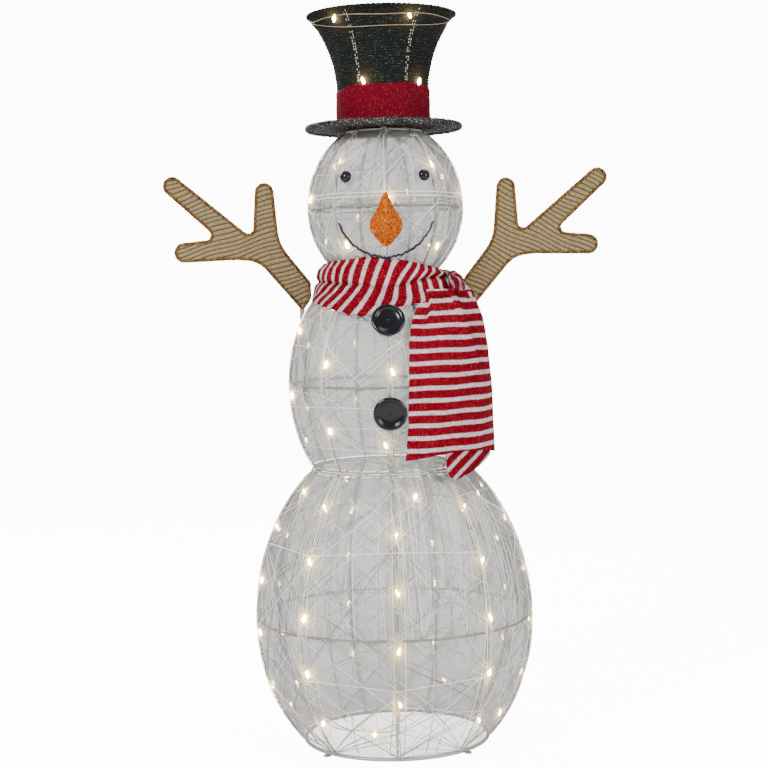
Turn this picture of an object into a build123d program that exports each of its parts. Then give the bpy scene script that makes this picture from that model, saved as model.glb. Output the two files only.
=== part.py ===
"""Lit wire-frame yard snowman in stacked sections. Millimetres, +Z up, front faces -Y.

The origin is the centre of the base ring on the ground. "Left" is the side of negative X.
"""
import os
from math import asin, atan2, cos, degrees, hypot, pi, radians, sin, sqrt, tan

from build123d import *

os.makedirs("parts", exist_ok=True)

# ---- frame wires -------------------------------------------------------------------------
rib_count = 9                    # meridian wires on every ball, one of them at the front
rib_pitch = 360 / rib_count
front = -90                      # azimuth of the front, degrees from +X
winding_rows = {"bottom": (12.0, 570.0), "middle": (592.0, 974.0), "head": (998.0, 1270.0)}
rib_r = 1.6                      # wire radius of the ribs
hoop_r = 2.2                     # wire radius of the hoops
base_wire_r = 4.0                # wire radius of the ring on the ground
film_gap = 2.3                   # rib centre line to the inner face of the thread winding
film_t = 2.0                     # depth of the thread winding
stack_step = 5.2                 # ring centre to ring centre where two sections meet
hoop_inset = rib_r + hoop_r + 0.8  # equator hoops lie this far inside the ribs

# ---- the three balls: (radius, height) of bottom ring, equator and top ring --------------
bottom_ball = ((194.0, 4.0), (290.0, 265.0), (166.0, 577.0))
middle_ball = ((162.0, 577.0 + stack_step), (209.0, 757.0), (103.0, 983.0))
head_ball = ((101.0, 983.0 + stack_step), (160.0, 1120.0), (79.0, 1279.0))

# ---- anchor tabs --------------------------------------------------------------------------
tab_count = 4
tab_pcd = 408.0
tab_r = 8.0
tab_hole_r = 4.2
tab_t = 3.0

# ---- light string -------------------------------------------------------------------------
string_r = 1.0
string_rows = {"bottom": (62.0, 540.0), "middle": (632.0, 925.0), "head": (1034.0, 1222.0)}
string_inset = 9.5               # rib centre line to string centre line
string_side = 6.0                # string runs this far beside each rib at the equator
led_lead = {"bottom": 172.0, "middle": 156.0, "head": 150.0}
led_pitch = {"bottom": 112.0, "middle": 133.0, "head": 176.0}
led_body_r = 3.2
led_body_len = 9.0
led_bore_r = 2.0
bulb_r = 2.3
bulb_len = 5.0
plug_r = 6.0
plug_len = 28.0
plug_gap = 0.4

# ---- hat ----------------------------------------------------------------------------------
brim_z = 1288.0
brim_ring_r = 157.0
brim_rim_r = 7.0
brim_web_half = 3.0
brim_hole_r = 74.0
crown_r = 95.0
crown_foot_z = 1291.3
crown_straight_z = 1360.0
crown_flare_r = 243.0
crown_top_r = 156.0
crown_top_z = 1521.0
crown_t = 2.5
crown_hoop = (144.8, 1516.4)       # radius and height of the wire at the top of the crown
crown_ribs = 6
band_t = 2.3
hat_bulb_rows = (1374.0, 1498.0)
hat_bulbs_per_row = 5

# ---- arms (right arm, X-Z plane; the left one mirrors it) -----------------------------------
# each limb is (start, end, half width at the start, half width at the end)
forearm = ((153.0, 919.0), (254.5, 1044.0), 26.5, 29.5)
palm = ((254.5, 1044.0), (318.0, 1045.0), 29.5, 25.5)
fingers = (((304.0, 1053.0), (445.0, 1177.0), 25.0, 20.5),
           ((318.0, 1044.0), (424.0, 1037.5), 25.0, 21.5),
           ((252.0, 1046.0), (253.0, 1160.0), 29.0, 20.5))
armpit_r = 60.0                  # curve from the forearm to the lowest finger
elbow_r = 90.0                   # long curve from the forearm to the upright finger
crotch_r = 10.0
cut_corner_r = 9.0               # rounding where the forearm is cut off along the ball
arm_to_ball = 1.6                # gap between the cut end and the winding
arm_to_scarf_x = 159.0           # the cut end stays outside the scarf
edging_r = 4.0
arm_wire_r = 1.5
arm_mesh_t = 1.4
pin_at = (180.0, 10.0)           # the pin stands behind the forearm
pin_r = 3.0
pin_foot_r = 5.5
pin_play = 0.08                  # radial clearance of the arm eyes on the pin
pin_z = (892.0, 975.0)
knuckle_r = 6.5
knuckle_len = 8.0
knuckle_heights = (937.0, 963.0)

# ---- face and buttons -----------------------------------------------------------------------
eye_r = 12.0
eye_at = (78.0, 1178.0)
button_r = 34.0
button_heights = {"upper_button": 887.0, "lower_button": 707.0}
mouth_arc_r = 101.0
mouth_centre_z = 1121.0
mouth_half = 95.0
mouth_wire_r = 1.6
nose_z = 1084.0
nose_reach = 75.0

# ---- scarf ------------------------------------------------------------------------------------
tail_azimuths = (-81.0, -16.0)
tail_bottom_z = 592.0
tail_top_z = 901.0
tail_t = 4.0
drape_azimuths = (-142.0, -18.0)
flap_azimuths = (-56.0, -18.0)   # the strip's other end, hanging behind the tail
flap_inner_r = 210.0
flap_z = (556.0, 640.0)


def save(name, shapes):
    """Write one node; a list of shapes becomes one compound of solids."""
    if isinstance(shapes, (list, tuple)):
        shapes = Compound([solid for shape in shapes for solid in shape.solids()])
    export_step(shapes, f"parts/{name}.step")


def radius_at(ball, z):
    """Rib centre-line radius of a ball at height z: two half ellipses joined at the equator."""
    (r_low, z_low), (r_eq, z_eq), (r_top, z_top) = ball
    r_end, z_end = (r_low, z_low) if z < z_eq else (r_top, z_top)
    semi = abs(z_end - z_eq) / sqrt(1 - (r_end / r_eq) ** 2)
    return r_eq * sqrt(1 - ((z - z_eq) / semi) ** 2)


def normal_at(ball, z):
    """Outward normal (radial, vertical) of the ball at height z."""
    slope = (radius_at(ball, z + 0.5) - radius_at(ball, z - 0.5)) if z > ball[0][1] + 1 else 0.6
    size = hypot(1, slope)
    return 1 / size, -slope / size


def meridian(ball, z_from, z_to, count, grow=0.0):
    """Points (radius, height) along the ball, moved outward by grow."""
    points = []
    for step in range(count + 1):
        z = z_from + (z_to - z_from) * step / count
        n_r, n_z = normal_at(ball, z)
        points.append((radius_at(ball, z) + grow * n_r, z + grow * n_z))
    return points


def polar(radius, azimuth, z):
    """Point at a radius and azimuth in degrees."""
    return (radius * cos(radians(azimuth)), radius * sin(radians(azimuth)), z)


def bend_radii(points, largest):
    """Corner radii that leave a straight run between neighbouring bends."""
    radii = []
    for before, corner, after in zip(points, points[1:], points[2:]):
        run_in = Vector(*corner) - Vector(*before)
        run_out = Vector(*after) - Vector(*corner)
        turn = radians(run_in.get_angle(run_out))
        room = 0.45 * min(run_in.length, run_out.length) / tan(turn / 2)
        radii.append(min(largest, room))
    return radii


def wire_path(points, largest=600.0):
    """Straight runs joined by tangent arcs."""
    return FilletPolyline(*points, radius=bend_radii(points, largest))


def rod(path, radius):
    """Round rod along a path."""
    section = Plane(origin=path @ 0, z_dir=path % 0) * Circle(radius)
    return sweep(section, path)


def ring(radius, z, wire_r):
    """Closed hoop."""
    return Pos(0, 0, z) * Torus(radius, wire_r)


def revolved(points, arc=360.0, start=0.0):
    """Solid of revolution of a closed outline of (radius, height) points."""
    outline = Plane.XZ * make_face(Polyline(*points, close=True))
    return revolve(outline, Axis.Z, arc).rotate(Axis.Z, start)


def winding(ball, z_from, z_to):
    """Thread winding as a thin closed wall of revolution with open ends."""
    inner = meridian(ball, z_from, z_to, 14, film_gap)
    outer = meridian(ball, z_from, z_to, 14, film_gap + film_t)
    edges = [Spline(*inner), Line(inner[-1], outer[-1]), Spline(*reversed(outer)),
             Line(outer[0], inner[0])]
    return revolve(Plane.XZ * make_face(edges), Axis.Z)


def ball_body(ball, z_from, z_to, grow):
    """Filled ball, used to trim the pieces that lie on the winding."""
    outer = meridian(ball, z_from, z_to, 14, grow)
    edges = [Spline(*outer), Line(outer[-1], (0, outer[-1][1])),
             Line((0, outer[-1][1]), (0, outer[0][1])), Line((0, outer[0][1]), outer[0])]
    return revolve(Plane.XZ * make_face(edges), Axis.Z)


def ribs(ball, rings):
    """The meridian wires of one ball, trimmed where they are welded to its rings."""
    points = [(r, 0, z) for r, z in meridian(ball, ball[0][1], ball[2][1], 16)]
    one = rod(wire_path(points), rib_r)
    for hoop in rings:
        one = one - hoop
    one = max(one.solids(), key=lambda solid: solid.volume)
    return [one.rotate(Axis.Z, front + rib_pitch * k) for k in range(rib_count)]


def hairpin(ring_r, ring_z, azimuth, drop, welded_to):
    """Wire clip that straddles the ring of the section below."""
    wire_r = 1.25
    reach = hoop_r + 0.5 + wire_r
    top = ring_z + hoop_r + 0.4 + wire_r
    low = ring_z - drop
    points = [(ring_r - reach, 0, low), (ring_r - reach, 0, top),
              (ring_r + reach, 0, top), (ring_r + reach, 0, low)]
    clip = rod(wire_path(points, 3.4), wire_r).rotate(Axis.Z, azimuth)
    return clip - welded_to


def serpentine(ball, low, high, start, finish):
    """String route: up and down beside every rib, from the start points to the finish points."""
    r_eq = ball[1][0]
    shift = degrees(string_side / r_eq)
    points = list(start)
    for k in range(rib_count):
        azimuth = 110 + rib_pitch * k + shift
        run = meridian(ball, low, high, 4, -string_inset)
        if k % 2:
            run.reverse()
        points += [polar(r, azimuth, z) for r, z in run]
    return wire_path(points + list(finish), 40.0)


def lights(path, stations):
    """LED bodies threaded on the string, and their bulbs pointing outward."""
    bodies, bulbs = [], []
    for station in stations:
        spot = path.position_at(station, position_mode=PositionMode.LENGTH)
        along = path.tangent_at(station, position_mode=PositionMode.LENGTH)
        outward = Vector(spot.X, spot.Y, 0).normalized()
        outward = (outward - along * outward.dot(along)).normalized()
        seat = Plane(origin=spot, x_dir=along, z_dir=outward)
        body = Rot(0, 90, 0) * Cylinder(led_body_r, led_body_len)
        bodies.append(seat * (body - Rot(0, 90, 0) * Cylinder(led_bore_r, 2 * led_body_len)))
        stem = Pos(0, 0, led_body_r + 0.05 + bulb_len / 2) * Cylinder(bulb_r, bulb_len)
        tip = Pos(0, 0, led_body_r + 0.05 + bulb_len) * Sphere(bulb_r)
        bulbs.append(seat * (stem + tip))
    return bodies, bulbs


def spaced(path, section, ball):
    """Distances along the path at an even pitch, moved on where a bulb would meet the hoop."""
    pitch, lead = led_pitch[section], led_lead[section]
    stations = []
    for k in range(int((path.length - 2 * lead) // pitch) + 1):
        station = lead + pitch * k
        height = path.position_at(station, position_mode=PositionMode.LENGTH).Z
        if abs(height - ball[1][1]) < 10:
            station += 20
        stations.append(station)
    return stations


def connector(radius, z_low):
    """Barrel of an in-line string connector, at the back inside the rings."""
    x, y, z = polar(radius, 90, z_low + plug_len / 2)
    barrel = Pos(x, y, z) * Cylinder(plug_r, plug_len)
    grip = Pos(x, y, z) * Cylinder(plug_r + 1.2, plug_len * 0.4)
    return barrel + grip


# ---- bottom section ---------------------------------------------------------------------------
base_ring = ring(bottom_ball[0][0], bottom_ball[0][1], base_wire_r)
bottom_top_hoop = ring(bottom_ball[2][0], bottom_ball[2][1], hoop_r)
bottom_equator = ring(bottom_ball[1][0] - hoop_inset, bottom_ball[1][1], hoop_r)
save("base_ring", base_ring)
save("bottom_top_hoop", bottom_top_hoop)
save("bottom_rib_cage", ribs(bottom_ball, [base_ring, bottom_top_hoop]) + [bottom_equator])
save("bottom_winding", winding(bottom_ball, *winding_rows["bottom"]))

tabs = []
for k in range(tab_count):
    x, y, z = polar(tab_pcd / 2, 45 + 360 / tab_count * k, tab_t / 2)
    tab = Pos(x, y, z) * (Cylinder(tab_r, tab_t) - Cylinder(tab_hole_r, 2 * tab_t))
    tabs.append(tab - base_ring)
save("anchor_tabs", tabs)

inlet_r = 160.0
neck_r = 138.0
shoulder_r = 78.0
crown_plug_r = 56.0
inlet_low = 12.0
save("power_inlet", connector(inlet_r, inlet_low))
bottom_socket_low = bottom_ball[2][1] - plug_len
save("bottom_string_socket", connector(neck_r, bottom_socket_low))
bottom_string = serpentine(
    bottom_ball, *string_rows["bottom"],
    [polar(inlet_r, 90, inlet_low + plug_len), polar(inlet_r, 90, 58), polar(190, 104, 64)],
    [polar(158, 82, 520), polar(neck_r, 90, 524), polar(neck_r, 90, bottom_socket_low)])
save("bottom_light_wire", rod(bottom_string, string_r))
bottom_stations = spaced(bottom_string, "bottom", bottom_ball)
bottom_bodies, bottom_bulbs = lights(bottom_string, bottom_stations)
save("bottom_led_bodies", bottom_bodies)
save("bottom_led_bulbs", bottom_bulbs)

# ---- middle section ---------------------------------------------------------------------------
middle_low_hoop = ring(middle_ball[0][0], middle_ball[0][1], hoop_r)
middle_top_hoop = ring(middle_ball[2][0], middle_ball[2][1], hoop_r)
middle_equator = ring(middle_ball[1][0] - hoop_inset, middle_ball[1][1], hoop_r)
save("middle_end_hoops", [middle_low_hoop, middle_top_hoop])
save("middle_rib_cage", ribs(middle_ball, [middle_low_hoop, middle_top_hoop]) + [middle_equator])
save("middle_winding", winding(middle_ball, *winding_rows["middle"]))
save("middle_clips", [hairpin(bottom_ball[2][0], bottom_ball[2][1], front + 4 + 120 * k, 14,
                              middle_low_hoop) for k in range(3)])
middle_plug_low = bottom_ball[2][1] + plug_gap
middle_socket_low = middle_ball[2][1] - plug_len
save("middle_string_plug", connector(neck_r, middle_plug_low))
save("middle_string_socket", connector(shoulder_r, middle_socket_low))
middle_string = serpentine(
    middle_ball, *string_rows["middle"],
    [polar(neck_r, 90, middle_plug_low + plug_len), polar(neck_r, 90, 622), polar(168, 104, 628)],
    [polar(125, 82, 928), polar(shoulder_r, 90, 932), polar(shoulder_r, 90, middle_socket_low)])
save("middle_light_wire", rod(middle_string, string_r))
middle_stations = spaced(middle_string, "middle", middle_ball)
middle_bodies, middle_bulbs = lights(middle_string, middle_stations)
save("middle_led_bodies", middle_bodies)
save("middle_led_bulbs", middle_bulbs)

middle_skin = ball_body(middle_ball, *winding_rows["middle"], film_gap + film_t + 0.1)


def button_seat(z):
    """Plane that touches the front of the middle ball at height z."""
    n_r, n_z = normal_at(middle_ball, z)
    out = film_gap + film_t + 0.15
    origin = (0, -(radius_at(middle_ball, z) + out * n_r), z + out * n_z)
    return Plane(origin=origin, x_dir=(1, 0, 0), z_dir=(0, -n_r, n_z))


def button(z):
    """Round button: rolled rim, sunk dish and one thread hole in the middle."""
    outline = [(3.0, 0), (button_r - 3, 0), (button_r, 3.5), (button_r, 6.5), (button_r - 3, 9.5),
               (button_r - 7, 9.5), (button_r - 11, 5.5), (9.0, 4.0), (3.0, 4.0)]
    return button_seat(z) * revolve(Plane.XZ * make_face(Polyline(*outline, close=True)), Axis.Z)


for name, z in button_heights.items():
    save(name, button(z))
button_rooms = [button_seat(z) * Pos(0, 0, 4) * Cylinder(button_r + 0.6, 13)
                for z in button_heights.values()]

pin = Pos(*pin_at, sum(pin_z) / 2) * Cylinder(pin_r, pin_z[1] - pin_z[0])
pin_cap = Pos(*pin_at, pin_z[1]) * Sphere(pin_r + 1)
pin_foot = Pos(*pin_at, pin_z[0] + 12) * Cylinder(pin_foot_r, 24)
right_pin = (pin + pin_foot - middle_skin) + pin_cap
right_pin = max(right_pin.solids(), key=lambda solid: solid.volume)
save("right_shoulder_pin", right_pin)
save("left_shoulder_pin", mirror(right_pin, about=Plane.YZ))

# ---- scarf, wrapped round the neck of the middle section -----------------------------------------
loop_profile = [(149, 946), (156, 950), (155, 968), (151, 990), (143, 1004), (137, 1010),
                (131, 1005), (128.5, 990), (136, 966)]
drape_profile = [(149, 947), (156, 950), (172, 930), (189, 912), (192, 903), (182, 903),
                 (164, 930)]
loop = revolved(loop_profile)
drape = revolved(drape_profile, drape_azimuths[1] - drape_azimuths[0], drape_azimuths[0])
scarf_loop = loop + drape - middle_skin - button_rooms[0]
scarf_loop = max(scarf_loop.solids(), key=lambda solid: solid.volume)
save("scarf_loop", scarf_loop)

tail_skin = meridian(middle_ball, 757, tail_top_z, 6, film_gap + film_t + 1.5)
tail_inner = [(tail_skin[0][0], tail_bottom_z)] + tail_skin
tail_outer = [(r + tail_t, z) for r, z in tail_inner]
tail_outline = tail_inner + tail_outer[::-1]
scarf_tail = revolved(tail_outline, tail_azimuths[1] - tail_azimuths[0], tail_azimuths[0])
flap_outline = [(flap_inner_r, flap_z[0]), (flap_inner_r, flap_z[1]),
                (tail_inner[0][0] + 1, flap_z[1]), (tail_inner[0][0] + 1, flap_z[0])]
scarf_tail = scarf_tail + revolved(flap_outline, flap_azimuths[1] - flap_azimuths[0], flap_azimuths[0])
for neighbour in button_rooms + [scarf_loop]:
    scarf_tail = scarf_tail - neighbour
scarf_tail = max(scarf_tail.solids(), key=lambda solid: solid.volume)
save("scarf_tail", scarf_tail)

knot_block = Box(64, 26, 62)
knot_block = fillet(knot_block.edges(), 11)
scarf_knot = Location(polar(174, -42, 958)) * Rot(0, 0, 48) * knot_block
scarf_knot = scarf_knot - scarf_loop - scarf_tail - middle_skin
scarf_knot = max(scarf_knot.solids(), key=lambda solid: solid.volume)
save("scarf_knot", scarf_knot)

# ---- arms ---------------------------------------------------------------------------------------


def limb(start, end, start_r, end_r):
    """Flat tapered bar with round ends."""
    with BuildSketch() as sketch:
        with Locations(start):
            Circle(start_r)
        with Locations(end):
            Circle(end_r)
        make_hull()
    return sketch.sketch


def grown(sketch, amount):
    """Outline moved outward, or inward for a negative amount."""
    return offset(sketch, amount, kind=Kind.ARC)


def corner_near(sketch, spot):
    """The outline's corner nearest to a spot."""
    return sketch.vertices().sort_by_distance((*spot, 0))[0]


arm_outline = limb(*forearm) + limb(*palm)
for finger in fingers:
    arm_outline = arm_outline + limb(*finger)
arm_outline = fillet(corner_near(arm_outline, (269.0, 1015.0)), armpit_r)
arm_outline = fillet(corner_near(arm_outline, (223.0, 1052.0)), elbow_r)
ball_side = meridian(middle_ball, 880, 945, 4, film_gap + film_t + arm_to_ball)
ball_side = [(r, z) for r, z in ball_side if r > arm_to_scarf_x]
cut_line = ball_side + [(arm_to_scarf_x, ball_side[-1][1] + 3), (arm_to_scarf_x, 1010),
                        (0, 1010), (0, 880)]
arm_outline = arm_outline - make_face(Polyline(*cut_line, close=True))
arm_outline = grown(grown(arm_outline, crotch_r), -crotch_r)
arm_outline = grown(grown(arm_outline, -cut_corner_r), cut_corner_r)
edge_loop = grown(arm_outline, -edging_r).faces()[0].outer_wire()
edge_path = Plane.XZ * edge_loop
start_plane = Plane(origin=edge_path @ 0, z_dir=edge_path % 0)
edging = sweep(start_plane * Circle(edging_r), edge_path)
bore = sweep(start_plane * Circle(arm_wire_r + 0.05), edge_path)
right_edging = edging - bore
right_frame = sweep(start_plane * Circle(arm_wire_r), edge_path)
mesh_face = Plane.XZ * grown(arm_outline, -2 * edging_r - 0.1)
right_mesh = extrude(mesh_face, arm_mesh_t / 2, both=True)
hinge_eyes = []
eye_reach = pin_at[1] - arm_mesh_t / 2
for z in knuckle_heights:
    barrel = Pos(*pin_at, z) * Cylinder(knuckle_r, knuckle_len)
    leaf = Pos(pin_at[0], pin_at[1] - eye_reach / 2, z) * Box(1.6 * knuckle_r, eye_reach, knuckle_len)
    hole = Pos(*pin_at, z) * Cylinder(pin_r + pin_play, 2 * knuckle_len)
    hinge_eyes.append(barrel + leaf - hole)
arm_pieces = {"arm_frame": [right_frame], "arm_edging": [right_edging],
              "arm_mesh": [right_mesh], "arm_hinge_eyes": hinge_eyes}
for name, shapes in arm_pieces.items():
    save(f"right_{name}", shapes)
    save(f"left_{name}", [mirror(shape, about=Plane.YZ) for shape in shapes])

# ---- head -----------------------------------------------------------------------------------------
head_low_hoop = ring(head_ball[0][0], head_ball[0][1], hoop_r)
head_top_hoop = ring(head_ball[2][0], head_ball[2][1], hoop_r)
head_equator = ring(head_ball[1][0] - hoop_inset, head_ball[1][1], hoop_r)
save("head_end_hoops", [head_low_hoop, head_top_hoop])
save("head_rib_cage", ribs(head_ball, [head_low_hoop, head_top_hoop]) + [head_equator])
save("head_winding", winding(head_ball, *winding_rows["head"]))
save("head_clips", [hairpin(middle_ball[2][0], middle_ball[2][1], front + 6 + 120 * k, 12,
                            head_low_hoop) for k in range(3)])
head_plug_low = middle_ball[2][1] + plug_gap
head_socket_low = head_ball[2][1] - plug_len
save("head_string_plug", connector(shoulder_r, head_plug_low))
save("head_string_socket", connector(crown_plug_r, head_socket_low))
head_string = serpentine(
    head_ball, *string_rows["head"],
    [polar(shoulder_r, 90, head_plug_low + plug_len), polar(shoulder_r, 90, 1024),
     polar(118, 104, 1028)],
    [polar(100, 82, 1226), polar(crown_plug_r, 90, 1230),
     polar(crown_plug_r, 90, head_socket_low)])
save("head_light_wire", rod(head_string, string_r))
head_bodies, head_bulbs = lights(head_string, spaced(head_string, "head", head_ball))
save("head_led_bodies", head_bodies)
save("head_led_bulbs", head_bulbs)

head_out = film_gap + film_t + 0.15
n_r, n_z = normal_at(head_ball, eye_at[1])
skin_r = radius_at(head_ball, eye_at[1]) + head_out * n_r
eye_y = -sqrt(skin_r ** 2 - eye_at[0] ** 2)
eye_side = (eye_at[0] / skin_r * n_r, eye_y / skin_r * n_r, n_z)
eye_plane = Plane(origin=(eye_at[0], eye_y, eye_at[1] + head_out * n_z), z_dir=eye_side)
dome = Sphere(eye_r) - Pos(0, 0, -eye_r) * Box(3 * eye_r, 3 * eye_r, 2 * eye_r)
dome = dome + Pos(0, 0, 1) * Cylinder(eye_r, 2)
right_eye = eye_plane * dome
save("right_eye", right_eye)
save("left_eye", mirror(right_eye, about=Plane.YZ))

mouth_points = []
for k in range(-5, 6):
    swing = k / 5 * degrees(atan2(mouth_half, mouth_centre_z - 1087))
    x = mouth_arc_r * sin(radians(swing))
    z = mouth_centre_z - mouth_arc_r * cos(radians(swing))
    m_r, m_z = normal_at(head_ball, z)
    out = film_gap + film_t + mouth_wire_r + 0.6
    skin = radius_at(head_ball, z) + out * m_r
    mouth_points.append((x, -sqrt(skin ** 2 - x ** 2), z + out * m_z))
save("mouth_wire", rod(wire_path(mouth_points, 60), mouth_wire_r))


def nose_outline(scale):
    """Kite with a narrow top and a blunt bottom, scaled about the nose centre."""
    with BuildSketch() as sketch:
        for z, radius in ((1141, 7), (1083, 32), (1053, 13)):
            with Locations((0, (z - nose_z) * scale)):
                Circle(radius * scale)
        make_hull()
    return sketch.sketch


head_skin = ball_body(head_ball, *winding_rows["head"], film_gap + film_t + 0.1)
nose_face_y = radius_at(head_ball, nose_z) + film_gap + film_t
nose_stations = ((-24, 1.0), (0, 1.0), (nose_reach * 0.45, 0.72), (nose_reach * 0.8, 0.38),
                 (nose_reach, 0.12))


def nose_body(shrink, back):
    """Blunt cone through the scaled outlines."""
    sections = []
    for ahead, scale in nose_stations:
        level = Plane(origin=(0, -nose_face_y - ahead + back, nose_z), x_dir=(1, 0, 0),
                      z_dir=(0, -1, 0))
        sections.append(level * nose_outline(scale * shrink))
    return loft(sections, ruled=True)


nose_cover = nose_body(1.0, 0.0) - nose_body(0.86, 5.0) - head_skin
nose_cover = max(nose_cover.solids(), key=lambda solid: solid.volume)
save("nose_cover", nose_cover)
root_y = -nose_face_y - 8
apex = (0, -nose_face_y - nose_reach * 0.62, nose_z)
upright = rod(wire_path([(0, root_y, nose_z + 34), apex, (0, root_y, nose_z - 24)], 6), arm_wire_r)
across = rod(wire_path([(-18, root_y, nose_z), apex, (18, root_y, nose_z)], 6), arm_wire_r)
save("nose_frame", upright + across)

# ---- hat -------------------------------------------------------------------------------------------
brim_ring = ring(brim_ring_r, brim_z, 2.2)
brim_inner_ring = ring(crown_r - 8, brim_z, 2.2)
spoke_len = brim_ring_r - (crown_r - 8)
spoke = Pos(crown_r - 8 + spoke_len / 2, 0, brim_z) * Rot(0, 90, 0) * Cylinder(1.8, spoke_len)
brim_frame = brim_ring + brim_inner_ring
for k in range(crown_ribs):
    brim_frame = brim_frame + spoke.rotate(Axis.Z, front + 30 + 60 * k)
save("brim_frame", brim_frame)

rim_section = Pos(brim_ring_r, brim_z) * (Circle(brim_rim_r) - Circle(2.4))
web_mid = (brim_hole_r + brim_ring_r) / 2
web_len = brim_ring_r - brim_hole_r
web_section = Pos(web_mid, brim_z) * Rectangle(web_len, 2 * brim_web_half)
web_hollow = Pos(web_mid + 2, brim_z) * Rectangle(web_len - 2, 4.8)
brim_section = rim_section + web_section - web_hollow - Pos(brim_ring_r, brim_z) * Circle(2.4)
save("brim_cover", revolve(Plane.XZ * brim_section, Axis.Z))

flare_x = crown_r + crown_flare_r
flare_end = degrees(atan2(crown_top_z - crown_straight_z, crown_top_r - flare_x))


def crown_line(inset, foot_z):
    """Crown profile: straight side, then an arc flaring outward to the top."""
    radius = crown_flare_r + inset
    side = Line((crown_r - inset, foot_z), (crown_r - inset, crown_straight_z))
    flare = CenterArc((flare_x, crown_straight_z), radius, 180, flare_end - 180)
    return side, flare


outer_side, outer_flare = crown_line(0, crown_foot_z)
inner_side, inner_flare = crown_line(crown_t, crown_foot_z)
crown_edges = [outer_side, outer_flare, inner_side, inner_flare,
               Line(outer_flare @ 1, inner_flare @ 1), Line(outer_side @ 0, inner_side @ 0)]
save("crown_cover", revolve(Plane.XZ * make_face(crown_edges), Axis.Z))
save("crown_top_cover", Pos(0, 0, crown_top_z - 0.8) * Cylinder(150.4, 2.0))
band_mid = (crown_foot_z + 0.3 + crown_straight_z) / 2
band_len = crown_straight_z - crown_foot_z - 0.3
band = Cylinder(crown_r + 0.1 + band_t, band_len) - Cylinder(crown_r + 0.1, band_len)
save("hat_band", Pos(0, 0, band_mid) * band)

frame_inset = crown_t + 0.3 + 1.8
rib_side = Line((crown_r - frame_inset, crown_foot_z + 3), (crown_r - frame_inset, crown_straight_z))
rib_end = -degrees(asin((crown_hoop[1] - crown_straight_z) / (crown_flare_r + frame_inset)))
rib_flare = CenterArc((flare_x, crown_straight_z), crown_flare_r + frame_inset, 180, rib_end)
rib_line = Plane.XZ * Wire([rib_side, rib_flare])
crown_rib = rod(rib_line, 1.8)
crown_low_ring = ring(crown_r - frame_inset - 4, crown_foot_z + 4, 2.0)
crown_top_ring = ring(*crown_hoop, hoop_r)
crown_frame = crown_low_ring + crown_top_ring
for k in range(crown_ribs):
    crown_frame = crown_frame + crown_rib.rotate(Axis.Z, front + 30 + 60 * k)
save("crown_frame", crown_frame)

hat_plug_low = head_ball[2][1] + plug_gap
save("hat_string_plug", connector(crown_plug_r, hat_plug_low))
row_low, row_high = hat_bulb_rows
low_r = crown_r - 15
high_r = 119.0
hat_points = [polar(crown_plug_r, 90, hat_plug_low + plug_len), polar(crown_plug_r, 90, 1335),
              polar(low_r, 86, row_low - 12)]
hat_points += [polar(low_r, 72 - 36 * k, row_low + 0.3 * k) for k in range(10)]
hat_points += [polar(low_r + 4, -285, 1400), polar(high_r - 14, -282, 1480)]
hat_points += [polar(high_r, -288 - 36 * k, row_high + 0.3 * k) for k in range(10)]
hat_string = wire_path(hat_points, 25)
save("hat_light_wire", rod(hat_string, string_r))
hat_run = hat_string.length
low_turn = 2 * pi * low_r
high_turn = 2 * pi * high_r
low_start = 134.0
high_start = hat_run - high_turn * 0.86
hat_stations = [low_start + low_turn / 5 * k for k in range(hat_bulbs_per_row)]
hat_stations += [high_start + high_turn / 5.6 * k for k in range(hat_bulbs_per_row)]
hat_bodies, hat_bulbs = lights(hat_string, hat_stations)
save("hat_led_bodies", hat_bodies)
save("hat_led_bulbs", hat_bulbs)
brim_trim = Pos(0, 0, brim_z) * Cylinder(brim_ring_r, 2 * brim_web_half)
save("hat_clips", [hairpin(head_ball[2][0], head_ball[2][1], front + 8 + 120 * k, 11, brim_trim)
                   for k in range(3)])
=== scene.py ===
"""Looks of the lit wire-frame yard snowman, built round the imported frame. Metres, +Z up, front faces -Y."""
import math

import bpy
import numpy as np
from mathutils import Matrix, Vector


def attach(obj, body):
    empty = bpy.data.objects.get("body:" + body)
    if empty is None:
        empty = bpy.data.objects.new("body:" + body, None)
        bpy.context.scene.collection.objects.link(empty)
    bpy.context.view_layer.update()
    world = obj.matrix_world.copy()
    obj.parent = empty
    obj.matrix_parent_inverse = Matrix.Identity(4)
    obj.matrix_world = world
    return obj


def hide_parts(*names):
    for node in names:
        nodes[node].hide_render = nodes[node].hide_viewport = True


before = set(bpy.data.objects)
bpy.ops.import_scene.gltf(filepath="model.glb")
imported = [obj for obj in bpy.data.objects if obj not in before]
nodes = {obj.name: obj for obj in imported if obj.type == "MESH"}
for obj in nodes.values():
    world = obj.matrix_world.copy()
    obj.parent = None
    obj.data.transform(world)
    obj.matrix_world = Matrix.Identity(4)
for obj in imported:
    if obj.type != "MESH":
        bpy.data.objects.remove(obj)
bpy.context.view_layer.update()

rng = np.random.default_rng(11)

# Sizes, in metres
RIBS = 9
FRONT = math.radians(-90)
RIB_STEP = 2 * math.pi / RIBS
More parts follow.
